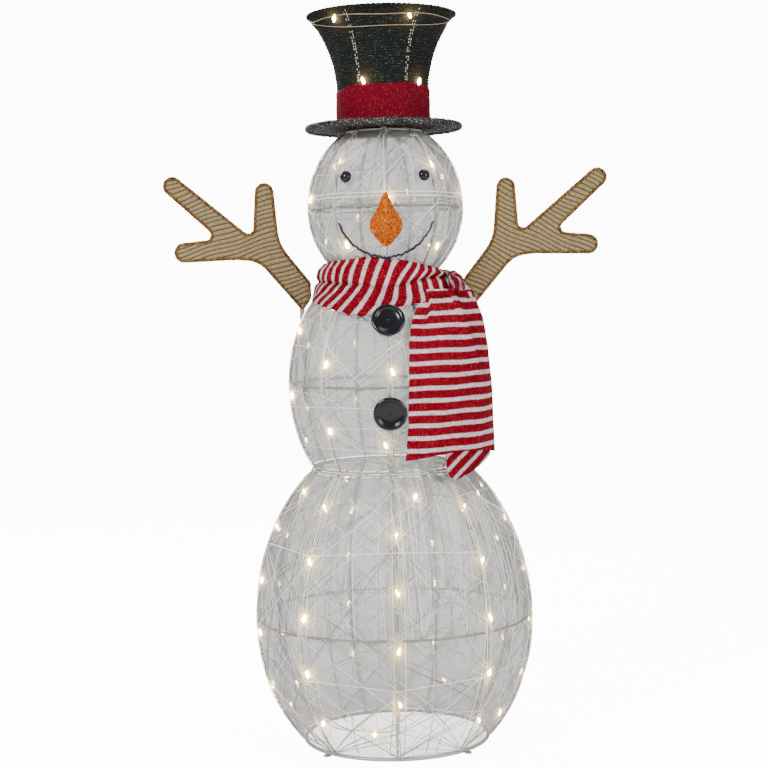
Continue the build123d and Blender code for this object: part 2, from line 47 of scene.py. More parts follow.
# (radius, height) of bottom ring, equator and top ring of each ball
BALLS = {
    "bottom": ((0.194, 0.004), (0.290, 0.265), (0.166, 0.577)),
    "middle": ((0.162, 0.5822), (0.209, 0.757), (0.103, 0.983)),
    "head": ((0.101, 0.9882), (0.160, 1.120), (0.079, 1.279)),
}
BODY = {"bottom": "bottom_section", "middle": "middle_section", "head": "head"}
SKIN = 0.0043                 # rib centre line to the outside of the winding
CAMERA_AT = (-0.0112, -3.475, 0.960)
CAMERA_AIM = (-0.0112, 0.0, 0.7525)
CAMERA_LENS = 77.4
CAMERA_ROLL = math.radians(1.3)
ROW = 0.0056                  # knit row of the hat
STITCH = 0.0048               # knit stitch of the scarf
KNIT_PITCH = 0.0247           # one red and one cream stripe
STRIP_WIDTH = 0.24            # flat width of the knitted strip, folded lengthwise round the neck
HAT_RIBS = 6


# Mesh helpers
def mesh_object(name, points, faces, material, body, replaces=(), smooth=True,
                uv=None, values=None):
    """A mesh piece that rides on a body; values are float attributes, one number per point."""
    mesh = bpy.data.meshes.new(name)
    mesh.from_pydata([tuple(p) for p in points], [], [tuple(f) for f in faces])
    mesh.update()
    if smooth:
        mesh.polygons.foreach_set("use_smooth", [True] * len(mesh.polygons))
    if uv is not None:
        layer = mesh.uv_layers.new(name="UVMap")
        loops = np.zeros(len(mesh.loops), np.int32)
        mesh.loops.foreach_get("vertex_index", loops)
        layer.data.foreach_set("uv", np.asarray(uv, np.float32)[loops].ravel())
    for key, numbers in (values or {}).items():
        attribute = mesh.attributes.new(key, "FLOAT", "POINT")
        attribute.data.foreach_set("value", np.asarray(numbers, np.float32))
    piece = bpy.data.objects.new(name, mesh)
    bpy.context.scene.collection.objects.link(piece)
    mesh.materials.append(material)
    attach(piece, body)
    if replaces:
        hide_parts(*replaces)
    return piece


def grid_faces(rows, columns, wrap_rows=False, wrap_columns=False, offset=0):
    """Quads of a grid of points stored row by row."""
    last_row = rows if wrap_rows else rows - 1
    last_column = columns if wrap_columns else columns - 1
    i, j = np.meshgrid(np.arange(last_row), np.arange(last_column), indexing="ij")
    i, j = i.ravel(), j.ravel()
    i2, j2 = (i + 1) % rows, (j + 1) % columns
    quads = np.stack([i * columns + j, i * columns + j2, i2 * columns + j2, i2 * columns + j], 1)
    return quads + offset


def whole_turn(segments):
    """Evenly spaced angles round one full turn, without the last one that repeats the first."""
    return np.arange(segments) / segments * 2 * math.pi


def around(radius, azimuth, z):
    """Points at a radius, an azimuth in radians and a height."""
    radius, azimuth, z = np.broadcast_arrays(radius, azimuth, z)
    return np.stack([radius * np.cos(azimuth), radius * np.sin(azimuth), z], -1)


def radius_at(ball, z):
    """Rib centre-line radius of a ball at heights z."""
    (r_low, z_low), (r_eq, z_eq), (r_top, z_top) = ball
    z = np.asarray(z, float)
    low = abs(z_low - z_eq) / math.sqrt(1 - (r_low / r_eq) ** 2)
    high = abs(z_top - z_eq) / math.sqrt(1 - (r_top / r_eq) ** 2)
    share = (z - z_eq) / np.where(z < z_eq, low, high)
    return r_eq * np.sqrt(np.clip(1 - share ** 2, 0, 1))


def tubes(lines, radii, sides=4):
    """Closed tubes along many lines; radii is one number or one array per line."""
    points, faces, start = [], [], 0
    turn = np.arange(sides) / sides * 2 * math.pi
    for line, radius in zip(lines, radii):
        line = np.asarray(line, float)
        along = np.gradient(line, axis=0)
        along /= np.maximum(np.linalg.norm(along, axis=1, keepdims=True), 1e-12)
        guide = np.array([0, 0, 1.0]) if abs(along[0][2]) < 0.8 else np.array([1.0, 0.3, 0])
        side = np.cross(along, guide)
        side /= np.maximum(np.linalg.norm(side, axis=1, keepdims=True), 1e-12)
        up = np.cross(side, along)
        radius = np.broadcast_to(np.asarray(radius, float), (len(line),))
        ring = (side[:, None] * np.cos(turn)[None, :, None] + up[:, None] * np.sin(turn)[None, :, None])
        points.append((line[:, None] + ring * radius[:, None, None]).reshape(-1, 3))
        faces += grid_faces(len(line), sides, wrap_columns=True, offset=start).tolist()
        faces.append(list(range(start, start + sides))[::-1])
        end = start + (len(line) - 1) * sides
        faces.append(list(range(end, end + sides)))
        start += len(line) * sides
    return np.concatenate(points), faces


def divided(line, step):
    """The line with extra points so that no run is longer than step."""
    line = np.asarray(line, float)
    out = [line[:1]]
    for a, b in zip(line, line[1:]):
        count = max(1, math.ceil(np.linalg.norm(b - a) / step))
        out.append(a + (b - a) * (np.arange(1, count + 1) / count)[:, None])
    return np.concatenate(out)


def islands(node):
    """Centres of the separate solids in a CAD node."""
    mesh = nodes[node].data
    co = np.array([v.co for v in mesh.vertices], float)
    key = np.round(co, 5)
    _, same = np.unique(key, axis=0, return_inverse=True)
    same = same.ravel()
    parent = list(range(same.max() + 1))

    def root(i):
        while parent[i] != i:
            parent[i] = parent[parent[i]]
            i = parent[i]
        return i

    for edge in mesh.edges:
        a, b = root(same[edge.vertices[0]]), root(same[edge.vertices[1]])
        parent[a] = b
    groups = {}
    for i, p in zip(same, co):
        groups.setdefault(root(i), []).append(p)
    found = [(np.min(g, 0) + np.max(g, 0)) / 2 for g in groups.values()]
    return np.array(sorted(found, key=lambda p: (round(p[2], 4), p[0])))


def waves(co, seed, scale, octaves=3):
    """Smooth random field over points, about -1 to 1, from sums of sines."""
    field = np.random.default_rng(seed)
    total, size = np.zeros(len(co)), 0.0
    for octave in range(octaves):
        for _ in range(4):
            direction = field.normal(size=3)
            direction /= np.linalg.norm(direction)
            wave = 2 * math.pi / (scale / 2 ** octave) * direction * field.uniform(0.7, 1.3)
            total += np.sin(co @ wave + field.uniform(0, 6.28)) / 2 ** octave
        size += 2.0 / 2 ** octave
    return total / size


def glow_at(co, lamps, reach):
    """How brightly the lamps light each point, 0 to about 1."""
    total = np.zeros(len(co))
    for lamp in lamps:
        near = np.linalg.norm(co - lamp, axis=1) / reach
        total += np.exp(-near ** 2) + 0.15 * np.exp(-(near / 2.6) ** 2)
    return np.minimum(total, 1.6)


# Materials
class Finish:
    """A Principled material with a few shortcuts for adding nodes."""

    def __init__(self, name, color, roughness=0.5, **sockets):
        self.material = bpy.data.materials.new(name)
        self.material.use_nodes = True
        self.tree = self.material.node_tree
        self.shader = self.tree.nodes["Principled BSDF"]
        self.shader.inputs["Base Color"].default_value = (*color, 1)
        self.shader.inputs["Roughness"].default_value = roughness
        for key, value in sockets.items():
            self.shader.inputs[key.replace("_", " ")].default_value = value

    def node(self, kind, settings=None, **sockets):
        made = self.tree.nodes.new(kind)
        for key, value in (settings or {}).items():
            setattr(made, key, value)
        for key, value in sockets.items():
            self.feed(value, made.inputs[key.replace("_", " ")])
        return made

    def feed(self, value, socket):
        if isinstance(value, bpy.types.NodeSocket):
            self.tree.links.new(value, socket)
        else:
            socket.default_value = value

    def math(self, operation, *values):
        made = self.tree.nodes.new("ShaderNodeMath")
        made.operation = operation
        for value, socket in zip(values, made.inputs):
            self.feed(value, socket)
        return made.outputs[0]

    def mix(self, factor, a, b, blend="MIX"):
        made = self.tree.nodes.new("ShaderNodeMix")
        made.data_type = "RGBA"
        made.blend_type = blend
        self.feed(factor, made.inputs["Factor"])
        for value, socket in ((a, made.inputs[6]), (b, made.inputs[7])):
            self.feed((*value, 1) if isinstance(value, tuple) and len(value) == 3 else value, socket)
        return made.outputs[2]

    def attribute(self, name):
        return self.node("ShaderNodeAttribute", {"attribute_name": name}).outputs["Fac"]

    def noise(self, scale, detail=3.0, vector=None):
        made = self.node("ShaderNodeTexNoise", Scale=scale, Detail=detail)
        place = vector or self.node("ShaderNodeTexCoord").outputs["Object"]
        self.tree.links.new(place, made.inputs["Vector"])
        return made.outputs["Fac"]

    def flecks(self, scale, size):
        """Small scattered glints: 1 inside a fleck."""
        made = self.node("ShaderNodeTexVoronoi", Scale=scale)
        place = self.node("ShaderNodeTexCoord").outputs["Object"]
        self.tree.links.new(place, made.inputs["Vector"])
        return self.math("LESS_THAN", made.outputs["Distance"], size)

    def bump(self, height, strength=0.3, distance=0.001):
        made = self.node("ShaderNodeBump", Height=height, Strength=strength, Distance=distance)
        self.tree.links.new(made.outputs["Normal"], self.shader.inputs["Normal"])

    def set(self, key, value):
        self.feed(value, self.shader.inputs[key])


def mottled(name, dark, light, roughness, scale, bump=0.2, **sockets):
    """Plain finish whose colour and surface vary a little."""
    finish = Finish(name, light, roughness, **sockets)
    grain = finish.noise(scale)
    finish.set("Base Color", finish.mix(grain, dark, light))
    finish.bump(finish.noise(scale * 3), bump, 0.0005)
    return finish


def thread_finish():
    """Clear thread: pale, glossy, and warm where a lamp lights it."""
    finish = Finish("clear_thread", (0.7, 0.7, 0.69), 0.22)
    glow = finish.attribute("glow")
    tone = finish.attribute("tone")
    cool = finish.mix(tone, (0.24, 0.23, 0.215), (0.97, 0.96, 0.93))
    near = finish.math("MINIMUM", glow, 1.0)
    finish.set("Base Color", finish.mix(near, cool, (1.0, 0.82, 0.50)))
    finish.set("Emission Color", (1.0, 0.72, 0.33, 1))
    finish.set("Emission Strength", finish.math("MULTIPLY", glow, 1.5))
    finish.bump(finish.noise(900.0), 0.15, 0.0003)
    return finish.material


def film_finish():
    """The haze of massed fine threads between the ribs."""
    finish = Finish("thread_haze", (0.3, 0.31, 0.305), 0.6)
    glow = finish.attribute("glow")
    place = finish.node("ShaderNodeTexCoord").outputs["UV"]
    stretched = finish.node("ShaderNodeMapping", Vector=place, Rotation=(0, 0, 0.6), Scale=(17.0, 8.0, 1.0))
    patch = finish.node("ShaderNodeTexVoronoi", Vector=stretched.outputs[0], Scale=1.0)
    shade = finish.node("ShaderNodeSeparateColor", Color=patch.outputs["Color"]).outputs[0]
    drift = finish.noise(9.0, 2.0)
    tone = finish.math("MULTIPLY_ADD", shade, 0.45, finish.math("MULTIPLY", drift, 0.55))
    cool = finish.mix(tone, (0.238, 0.243, 0.234), (0.345, 0.347, 0.330))
    near = finish.math("MINIMUM", glow, 1.0)
    # Paler and less see-through over the lowest few centimetres, towards the floor.
    low = finish.attribute("toward_floor")
    cool = finish.mix(low, cool, (0.43, 0.40, 0.375))
    finish.set("Base Color", finish.mix(near, cool, (0.80, 0.62, 0.36)))
    finish.set("Emission Color", (1.0, 0.72, 0.34, 1))
    finish.set("Emission Strength", finish.math("MULTIPLY", glow, 0.8))
    haze = finish.math("MULTIPLY_ADD", tone, 0.07, finish.math("MULTIPLY_ADD", low, 0.075, 0.775))
    finish.set("Alpha", finish.math("MULTIPLY_ADD", glow, 0.08, haze))
    finish.bump(finish.noise(260.0, 4.0), 0.12, 0.0006)
    return finish.material


def wrap_finish():
    """Bunched turns of clear thread, through which the rib shows."""
    finish = Finish("clear_wraps", (0.8, 0.8, 0.78), 0.15)
    glow = finish.attribute("glow")
    tone = finish.attribute("tone")
    near = finish.math("MINIMUM", glow, 1.0)
    cool = finish.mix(tone, (0.36, 0.34, 0.31), (0.92, 0.91, 0.87))
    finish.set("Base Color", finish.mix(near, cool, (1.0, 0.80, 0.46)))
    finish.set("Emission Color", (1.0, 0.70, 0.30, 1))
    finish.set("Emission Strength", finish.math("MULTIPLY", glow, 1.3))
    finish.set("Alpha", finish.math("MULTIPLY_ADD", tone, 0.35, 0.22))
    finish.bump(finish.noise(700.0), 0.3, 0.0005)
    return finish.material


def stripe_finish():
    """Knitted red and cream stripes with toothed edges, metallic flecks shown by painted glints, and painted
    shade in the knit hollows.
    """
    finish = Finish("striped_knit", (0.6, 0.02, 0.06), 0.85, Specular_IOR_Level=0.08)
    place = finish.node("ShaderNodeTexCoord").outputs["UV"]
    split = finish.node("ShaderNodeSeparateXYZ", Vector=place)
    along, across = split.outputs[0], split.outputs[1]
    teeth = finish.math("PINGPONG", finish.math("DIVIDE", across, STITCH), 0.5)
    shifted = finish.math("MULTIPLY_ADD", teeth, 0.0042, along)
    wander = finish.math("MULTIPLY_ADD", finish.noise(60.0), 0.002, shifted)
    phase = finish.math("FRACT", finish.math("DIVIDE", wander, KNIT_PITCH))
    cream = finish.math("GREATER_THAN", phase, 0.66)
    worn = finish.math("MULTIPLY_ADD", finish.noise(210.0, 5.0), 2.4, -0.7)
    worn = finish.math("MINIMUM", finish.math("MAXIMUM", worn, 0.0), 1.0)
    red = finish.mix(worn, (0.10, 0.0, 0.004), (0.24, 0.0, 0.010))
    pale = finish.mix(worn, (0.33, 0.265, 0.27), (0.80, 0.65, 0.665))
    cloth = finish.mix(cream, red, pale)
    # Painted glints: lighter red specks stand for light caught by the metallic yarn; the lower roughness
    # there is real.
    glint = finish.math("MULTIPLY", finish.flecks(240.0, 0.2), finish.math("SUBTRACT", 1.0, cream))
    cloth = finish.mix(glint, cloth, (0.62, 0.05, 0.035))
    # Painted shade: the colour is multiplied darker in the stitch hollows and the folds of the cloth.
    hollow_shade = finish.attribute("hollow_shade")
    finish.set("Base Color", finish.mix(hollow_shade, cloth, (0.30, 0.22, 0.22), "MULTIPLY"))
    finish.set("Roughness", finish.math("MULTIPLY_ADD", glint, -0.5, 0.85))
    finish.bump(finish.noise(1400.0), 0.35, 0.0006)
    return finish.material


def knit_finish(name, dark, light, glint_color, glint_size, glow_color=(1.0, 0.62, 0.2)):
    """Plain knit with metallic flecks shown by painted glints, painted shade in the hollows between rows, and
    warm where a lamp shows through.
    """
    finish = Finish(name, light, 0.8, Specular_IOR_Level=0.1)
    worn = finish.noise(240.0, 4.0)
    cloth = finish.mix(worn, dark, light)
    # Painted glints: lighter specks stand for light caught by the metallic yarn.
    glint = finish.flecks(300.0, glint_size)
    cloth = finish.mix(glint, cloth, glint_color)
    # Painted shade: the colour is multiplied darker in the hollows between the knit rows.
    hollow_shade = finish.attribute("hollow_shade")
    cloth = finish.mix(hollow_shade, cloth, (0.22, 0.22, 0.22), "MULTIPLY")
    finish.set("Base Color", cloth)
    finish.set("Roughness", finish.math("MULTIPLY_ADD", glint, -0.5, 0.8))
    finish.set("Emission Color", (*glow_color, 1))
    finish.set("Emission Strength", finish.math("MULTIPLY", finish.attribute("glow"), 0.35))
    finish.bump(finish.noise(1500.0), 0.4, 0.0006)
    return finish.material


def lamp_finish():
    finish = Finish("lit_bulb", (1.0, 0.93, 0.78), 0.2, Emission_Strength=48.0)
    finish.set("Emission Color", finish.mix(finish.noise(120.0), (1.0, 0.80, 0.46), (1.0, 0.90, 0.68)))
    return finish.material


def black_gloss():
    finish = Finish("black_gloss", (0.008, 0.008, 0.011), 0.12, Specular_IOR_Level=0.35)
    grain = finish.noise(45.0)
    finish.set("Base Color", finish.mix(grain, (0.002, 0.002, 0.003), (0.008, 0.008, 0.012)))
    finish.set("Roughness", finish.math("MULTIPLY_ADD", grain, 0.12, 0.12))
    finish.bump(finish.noise(160.0), 0.05, 0.0004)
    return finish.material


def tinsel_finish(name, dark, light, glint_color):
    finish = Finish(name, light, 0.45, Specular_IOR_Level=0.12)
    patchy = finish.math("MULTIPLY_ADD", finish.noise(170.0, 5.0), 2.6, -0.8)
    patchy = finish.math("MINIMUM", finish.math("MAXIMUM", patchy, 0.0), 1.0)
    cloth = finish.mix(patchy, dark, light)
    # Painted glints: lighter spots stand for light caught by the tinsel strands; the lower roughness there is
    # real.
    glint = finish.flecks(260.0, 0.24)
    finish.set("Base Color", finish.mix(glint, cloth, glint_color))
    finish.set("Roughness", finish.math("MULTIPLY_ADD", glint, -0.25, 0.5))
    finish.bump(finish.noise(1200.0), 0.5, 0.0008)
    return finish.material


def arm_mesh_finish():
    """Tan corded mesh, with near-black painted shade in the grooves between the cords."""
    finish = Finish("tan_mesh", (0.5, 0.4, 0.24), 0.6, Specular_IOR_Level=0.15)
    worn = finish.noise(300.0, 4.0)
    cord = finish.mix(worn, (0.085, 0.056, 0.018), (0.37, 0.28, 0.145))
    cord = finish.mix(finish.flecks(380.0, 0.17), cord, (0.64, 0.52, 0.29))
    # Painted shade: near black in the grooves between the cords.
    groove_shade = finish.attribute("hollow_shade")
    finish.set("Base Color", finish.mix(groove_shade, cord, (0.028, 0.012, 0.002)))
    finish.bump(finish.noise(1600.0), 0.4, 0.0006)
    return finish.material


def metal_finish(name, dark, light, roughness, metallic):
    finish = Finish(name, light, roughness, Metallic=metallic)
    grain = finish.noise(110.0)
    finish.set("Base Color", finish.mix(grain, dark, light))
    finish.set("Roughness", finish.math("MULTIPLY_ADD", grain, 0.25, roughness - 0.1))
    finish.bump(finish.noise(500.0), 0.12, 0.0004)
    return finish.material


THREAD = thread_finish()
HAZE = film_finish()
SCARF = stripe_finish()
WRAPS = wrap_finish()
CROWN_KNIT = knit_finish("crown_knit", (0.0010, 0.0016, 0.0012), (0.016, 0.021, 0.017), (0.27, 0.29, 0.26),
                         0.15)
BAND_KNIT = knit_finish("band_knit", (0.08, 0.0, 0.005), (0.24, 0.0, 0.014), (0.60, 0.17, 0.21), 0.15)
BRIM_TINSEL = tinsel_finish("brim_tinsel", (0.003, 0.003, 0.003), (0.046, 0.042, 0.039), (0.36, 0.33, 0.30))
NOSE_TINSEL = tinsel_finish("nose_tinsel", (0.22, 0.020, 0.0), (0.72, 0.155, 0.0), (1.0, 0.48, 0.06))
EDGING = tinsel_finish("brown_edging", (0.035, 0.014, 0.002), (0.21, 0.105, 0.028), (0.50, 0.31, 0.11))
ARM_MESH = arm_mesh_finish()
LAMP = lamp_finish()
BLACK = black_gloss()
RIB_WIRE = metal_finish("rib_wire", (0.17, 0.15, 0.12), (0.30, 0.275, 0.235), 0.4, 0.2)
RING_WIRE = metal_finish("ring_wire", (0.36, 0.33, 0.28), (0.52, 0.49, 0.44), 0.4, 0.1)
ZINC = metal_finish("zinc", (0.45, 0.44, 0.42), (0.68, 0.67, 0.65), 0.3, 0.9)
DARK_WIRE = metal_finish("dark_wire", (0.008, 0.006, 0.014), (0.022, 0.018, 0.032), 0.3, 0.2)
CLEAR_WIRE = mottled("clear_wire", (0.26, 0.17, 0.08), (0.46, 0.34, 0.20), 0.3, 90.0).material
LED_BODY = mottled("led_body", (0.85, 0.70, 0.42), (0.97, 0.88, 0.66), 0.25, 200.0,
                   Emission_Color=(1.0, 0.72, 0.35, 1), Emission_Strength=0.7).material
CONNECTOR = mottled("connector_plastic", (0.62, 0.61, 0.57), (0.74, 0.73, 0.70), 0.45, 60.0).material

NODE_FINISH = {
    RING_WIRE: ("base_ring", "bottom_top_hoop", "middle_end_hoops", "head_end_hoops"),
    RIB_WIRE: ("bottom_rib_cage", "middle_rib_cage", "head_rib_cage", "brim_frame", "crown_frame",
               "nose_frame", "left_arm_frame", "right_arm_frame"),
    CLEAR_WIRE: ("bottom_light_wire", "middle_light_wire", "head_light_wire", "hat_light_wire"),
    LED_BODY: ("bottom_led_bodies", "middle_led_bodies", "head_led_bodies", "hat_led_bodies"),
    CONNECTOR: ("power_inlet", "bottom_string_socket", "middle_string_plug", "middle_string_socket",
                "head_string_plug", "head_string_socket", "hat_string_plug"),
    ZINC: ("anchor_tabs", "middle_clips", "head_clips", "hat_clips", "left_shoulder_pin",
           "right_shoulder_pin", "left_arm_hinge_eyes", "right_arm_hinge_eyes"),
}
for finish, names in NODE_FINISH.items():
    for name in names:
        nodes[name].data.materials.clear()
        nodes[name].data.materials.append(finish)


# Lamps
def lamp_shape(length, radius, steps=9, sides=10):
    """A pointed bulb along Z: points and faces."""
    t = np.linspace(0.02, 0.98, steps)
    r = radius * np.sin(math.pi * t ** 0.8) ** 0.75
    turn = np.arange(sides) / sides * 2 * math.pi
    points = around(r[:, None], turn[None], ((t - 0.45) * length)[:, None]).reshape(-1, 3)
    faces = grid_faces(steps, sides, wrap_columns=True).tolist()
    faces.append(list(range(sides))[::-1])
    faces.append(list(range((steps - 1) * sides, steps * sides)))
    return points, faces


def lamps(name, centres, body, node, outward=0.0):
    """Bright bulbs at the CAD bulbs, standing along the winding."""
    shape, shape_faces = lamp_shape(0.0170, 0.0034)
    points, faces = [], []
    for k, centre in enumerate(centres):
        lean = Matrix.Rotation(0.35 * math.sin(2.4 * k), 3, "Y")
        lean = lean @ Matrix.Rotation(0.3 * math.cos(3.1 * k), 3, "X")
        out = np.array([centre[0], centre[1], 0]) / max(math.hypot(centre[0], centre[1]), 1e-6)
        points.append(shape @ np.array(lean).T + centre + out * outward)
        faces += [[i + k * len(shape) for i in face] for face in shape_faces]
    return mesh_object(name, np.concatenate(points), faces, LAMP, body, [node])


LAMPS = {ball: islands(f"{ball}_led_bulbs") for ball in (*BALLS, "hat")}


# Windings
def on_facet(ball, u, z, lift):
    """Points of the faceted winding: u counts ribs, and the surface is flat between them."""
    u, z = np.broadcast_arrays(np.asarray(u, float), np.asarray(z, float))
    share = u - np.floor(u)
    first = FRONT + RIB_STEP * np.floor(u)
    radius = radius_at(ball, z)
    a = around(radius, first, z)
    b = around(radius, first + RIB_STEP, z)
    flat = a * (1 - share)[..., None] + b * share[..., None]
    out = around(1.0, first + RIB_STEP * share, 0.0)
    over_rib = np.abs(np.cos(math.pi * u)) ** 14
    return flat + out * (lift + (SKIN - 0.0018) * over_rib)[..., None]


def facet_line(ball, corners, lift=0.0012):
    """A thread through corners given as (u, z), lying on the facets."""
    corners = np.asarray(corners, float)
    fine = [corners[:1]]
    for a, b in zip(corners, corners[1:]):
        count = max(2, math.ceil(abs(b[0] - a[0]) * 10 + abs(b[1] - a[1]) / 0.03))
        fine.append(a + (b - a) * (np.arange(1, count + 1) / count)[:, None])
    fine = np.concatenate(fine)
    return on_facet(ball, fine[:, 0], fine[:, 1], lift * np.ones(len(fine)))


def diagonal_threads(ball, count, steps, slopes, margin=0.004):
    """Threads that step from rib to rib, turning back at the rings."""
    low, high = ball[0][1] + margin, ball[2][1] - margin
    lines = []
    for _ in range(count):
        u, z = float(rng.integers(RIBS)), rng.uniform(low, high)
        slope = rng.choice(slopes) * rng.uniform(0.8, 1.25) * rng.choice([-1, 1])
        way = rng.choice([-1, 1])
        corners = [(u, z)]
        for _ in range(steps):
            chord = 2 * float(radius_at(ball, z)) * math.sin(RIB_STEP / 2)
            z += slope * chord
            if not low < z < high:
                z = min(max(z, low), high)
                slope = -slope
            u += way
            corners.append((u, z))
        lines.append(facet_line(ball, corners))
    return lines


def upright_threads(ball, count, spread, low_share):
    """Threads from the top ring down to the equator hoop or the bottom ring."""
    z_low, z_eq, z_top = (end[1] for end in ball)
    lines = []
    for _ in range(count):
        u = rng.uniform(0, RIBS)
        sway = rng.normal(0, spread)
        foot = z_low + 0.01 if rng.random() < low_share else z_eq + rng.uniform(-0.04, 0.06)
        lines.append(facet_line(ball, [(u, z_top - 0.004), (u + sway, z_eq), (u + 2 * sway, foot)], 0.0014))
    return lines


def level_threads(ball, count):
    """Threads that go round at one height, from rib to rib."""
    lines = []
    for _ in range(count):
        z = rng.uniform(ball[0][1] + 0.02, ball[2][1] - 0.02)
        first, steps = float(rng.integers(RIBS)), rng.integers(2, 6)
        corners = [(first + k, z + rng.normal(0, 0.004)) for k in range(steps)]
        lines.append(facet_line(ball, corners))
    return lines


def rib_bundles(ball, count):
    """Long threads that run down close beside a rib, two of them the whole way."""
    lines = []
    low, high = ball[0][1] + 0.006, ball[2][1] - 0.006
    for k in range(RIBS):
        for side in (-1, 1):
            heights = np.linspace(high, low, 7)
            sway = side * 0.022 + rng.normal(0, 0.010, 7)
            lines.append(facet_line(ball, np.stack([k + sway, heights], 1), 0.002))
    for _ in range(count):
        u = float(rng.integers(RIBS))
        z0, z1 = np.sort(rng.uniform(ball[0][1] + 0.01, ball[2][1] - 0.01, 2))
        a, b = rng.normal(0, 0.035, 2)
        lines.append(facet_line(ball, [(u + a, z1), (u + (a + b) / 2, (z0 + z1) / 2), (u + b, z0)], 0.002))
    return lines


def lamp_ties(centres, count, length):
    """Short bright ends of thread that tie each lamp to its rib."""
    lines = []
    for centre in centres:
        out = np.array([centre[0], centre[1], 0]) / max(math.hypot(centre[0], centre[1]), 1e-6)
        side = np.array([-out[1], out[0], 0])
        for _ in range(count):
            angle = rng.uniform(0, 2 * math.pi)
            reach = length * rng.uniform(0.35, 1.0)
            way = side * math.cos(angle) + np.array([0, 0, 1.0]) * math.sin(angle)
            start = centre + out * rng.uniform(-0.001, 0.005) - way * reach * 0.2
            middle = start + way * reach * 0.5 + side * rng.normal(0, 0.0015)
            lines.append(np.array([start, middle, start + way * reach]))
    return lines


def with_values(lines, radii, lamps_near, tones, sides=4, step=0.018, reach=0.017):
    """Tube mesh of the lines with its glow and tone attributes."""
    fine = [divided(line, step) for line in lines]
    points, faces = tubes(fine, radii, sides)
    tone = np.concatenate([np.full(len(line) * sides, t) for line, t in zip(fine, tones)])
    return points, faces, {"glow": glow_at(points, lamps_near, reach), "tone": tone}


def haze(name, ball, body):
    """Facets between the ribs, as the massed threads lie."""
    columns, rows = 20, 64
    z = np.linspace(ball[0][1] + 0.004, ball[2][1] - 0.003, rows)
    share = np.arange(columns) / columns
    at_hoop = np.exp(-np.minimum(z - z[0], z[-1] - z) / 0.022)
    facets, uv = [], []
    for k in range(RIBS):
        radius = radius_at(ball, z)[:, None]
        a, b = (around(radius, FRONT + RIB_STEP * (k + end), z[:, None]) for end in (0, 1))
        flat = a * (1 - share)[None, :, None] + b * share[None, :, None]
        hooped = around(radius + 0 * share, FRONT + RIB_STEP * (k + share), z[:, None])
        facets.append(flat + (hooped - flat) * at_hoop[:, None, None])
        chord = 2 * radius * math.sin(RIB_STEP / 2)
        uv.append(np.stack([(share[None] - 0.5) * chord + 0.37 * k, np.repeat(z[:, None], columns, 1)], -1))
    points = np.concatenate(facets, axis=1).reshape(-1, 3)
    places = np.concatenate(uv, axis=1).reshape(-1, 2)
    faces = grid_faces(rows, columns * RIBS, wrap_columns=True)
    glow = glow_at(points, LAMPS[name], 0.0095)
    # Rises towards the floor: the haze is paler and less see-through there.
    toward_floor = np.exp(-points[:, 2] / 0.07)
    return mesh_object(f"{name}_thread_haze", points, faces, HAZE, body, [f"{name}_winding"],
                       uv=places, values={"glow": glow, "toward_floor": toward_floor})


def rib_wraps(name, ball, body, thick):
    """Thread turns bunched round every rib."""
    z = np.linspace(ball[0][1] + 0.004, ball[2][1] - 0.004, 260 if name == "bottom" else 180)
    lines, radii = [], []
    for k in range(RIBS):
        line = around(radius_at(ball, z) + 0.0006, FRONT + RIB_STEP * k, z)
        lines.append(line)
        lumps = waves(line, 31 + k, 0.016, 2) + 0.6 * waves(line, 71 + k, 0.006, 1)
        radii.append(0.0018 + thick * np.clip(lumps + 0.05, 0, 1.3))
    points, faces = tubes(lines, radii, 7)
    glow = glow_at(points, LAMPS[name], 0.02)
    tone = 0.45 + 0.35 * waves(points, 5, 0.02, 2)
    return mesh_object(f"{name}_rib_wraps", points, faces, WRAPS, body,
                       values={"glow": glow, "tone": np.clip(tone, 0, 1)})


FULL_TURNS = (1.147, 1.139)     # heights of the two light threads that go all the way round the head
WINDING_PLAN = {
    # diagonal count, steps, slopes; upright count, spread, share to the bottom; level count; bundles; wrap
    "bottom": (46, 9, (0.55, 0.9, 1.15), 120, 0.10, 0.30, 14, 26, 0.0026),
    "middle": (26, 8, (0.5, 0.9, 1.4), 24, 0.22, 0.5, 12, 24, 0.0024),
    "head": (22, 8, (0.45, 0.9, 1.5), 16, 0.25, 0.6, 12, 20, 0.0022),
}
for name, ball in BALLS.items():
    body = BODY[name]
    turns, steps, slopes, uprights, spread, share, levels, bundles, wrap = WINDING_PLAN[name]
    haze(name, ball, body)
    lines = diagonal_threads(ball, turns, steps, slopes)
    lines += upright_threads(ball, uprights, spread, share)
    lines += level_threads(ball, levels)
    lines += rib_bundles(ball, bundles)
    radii = rng.uniform(0.0004, 0.0011, len(lines))
    tones = rng.beta(1.1, 0.65, len(lines))
    if name == "head":
        lines += [facet_line(ball, [(k, z) for k in range(RIBS + 1)], 0.0024) for z in FULL_TURNS]
        radii = np.append(radii, [0.0013, 0.0013])
        tones = np.append(tones, [0.95, 0.9])
    points, faces, values = with_values(lines, radii, LAMPS[name], tones)
    mesh_object(f"{name}_threads", points, faces, THREAD, body, values=values)
    ties = lamp_ties(LAMPS[name], 11, 0.026)
    points, faces, values = with_values(ties, [0.0006] * len(ties), LAMPS[name], [0.9] * len(ties), 3)
    mesh_object(f"{name}_lamp_ties", points, faces, THREAD, body, values=values)
    rib_wraps(name, ball, body, wrap)
    lamps(f"{name}_lamps", LAMPS[name], body, f"{name}_led_bulbs", 0.0042)


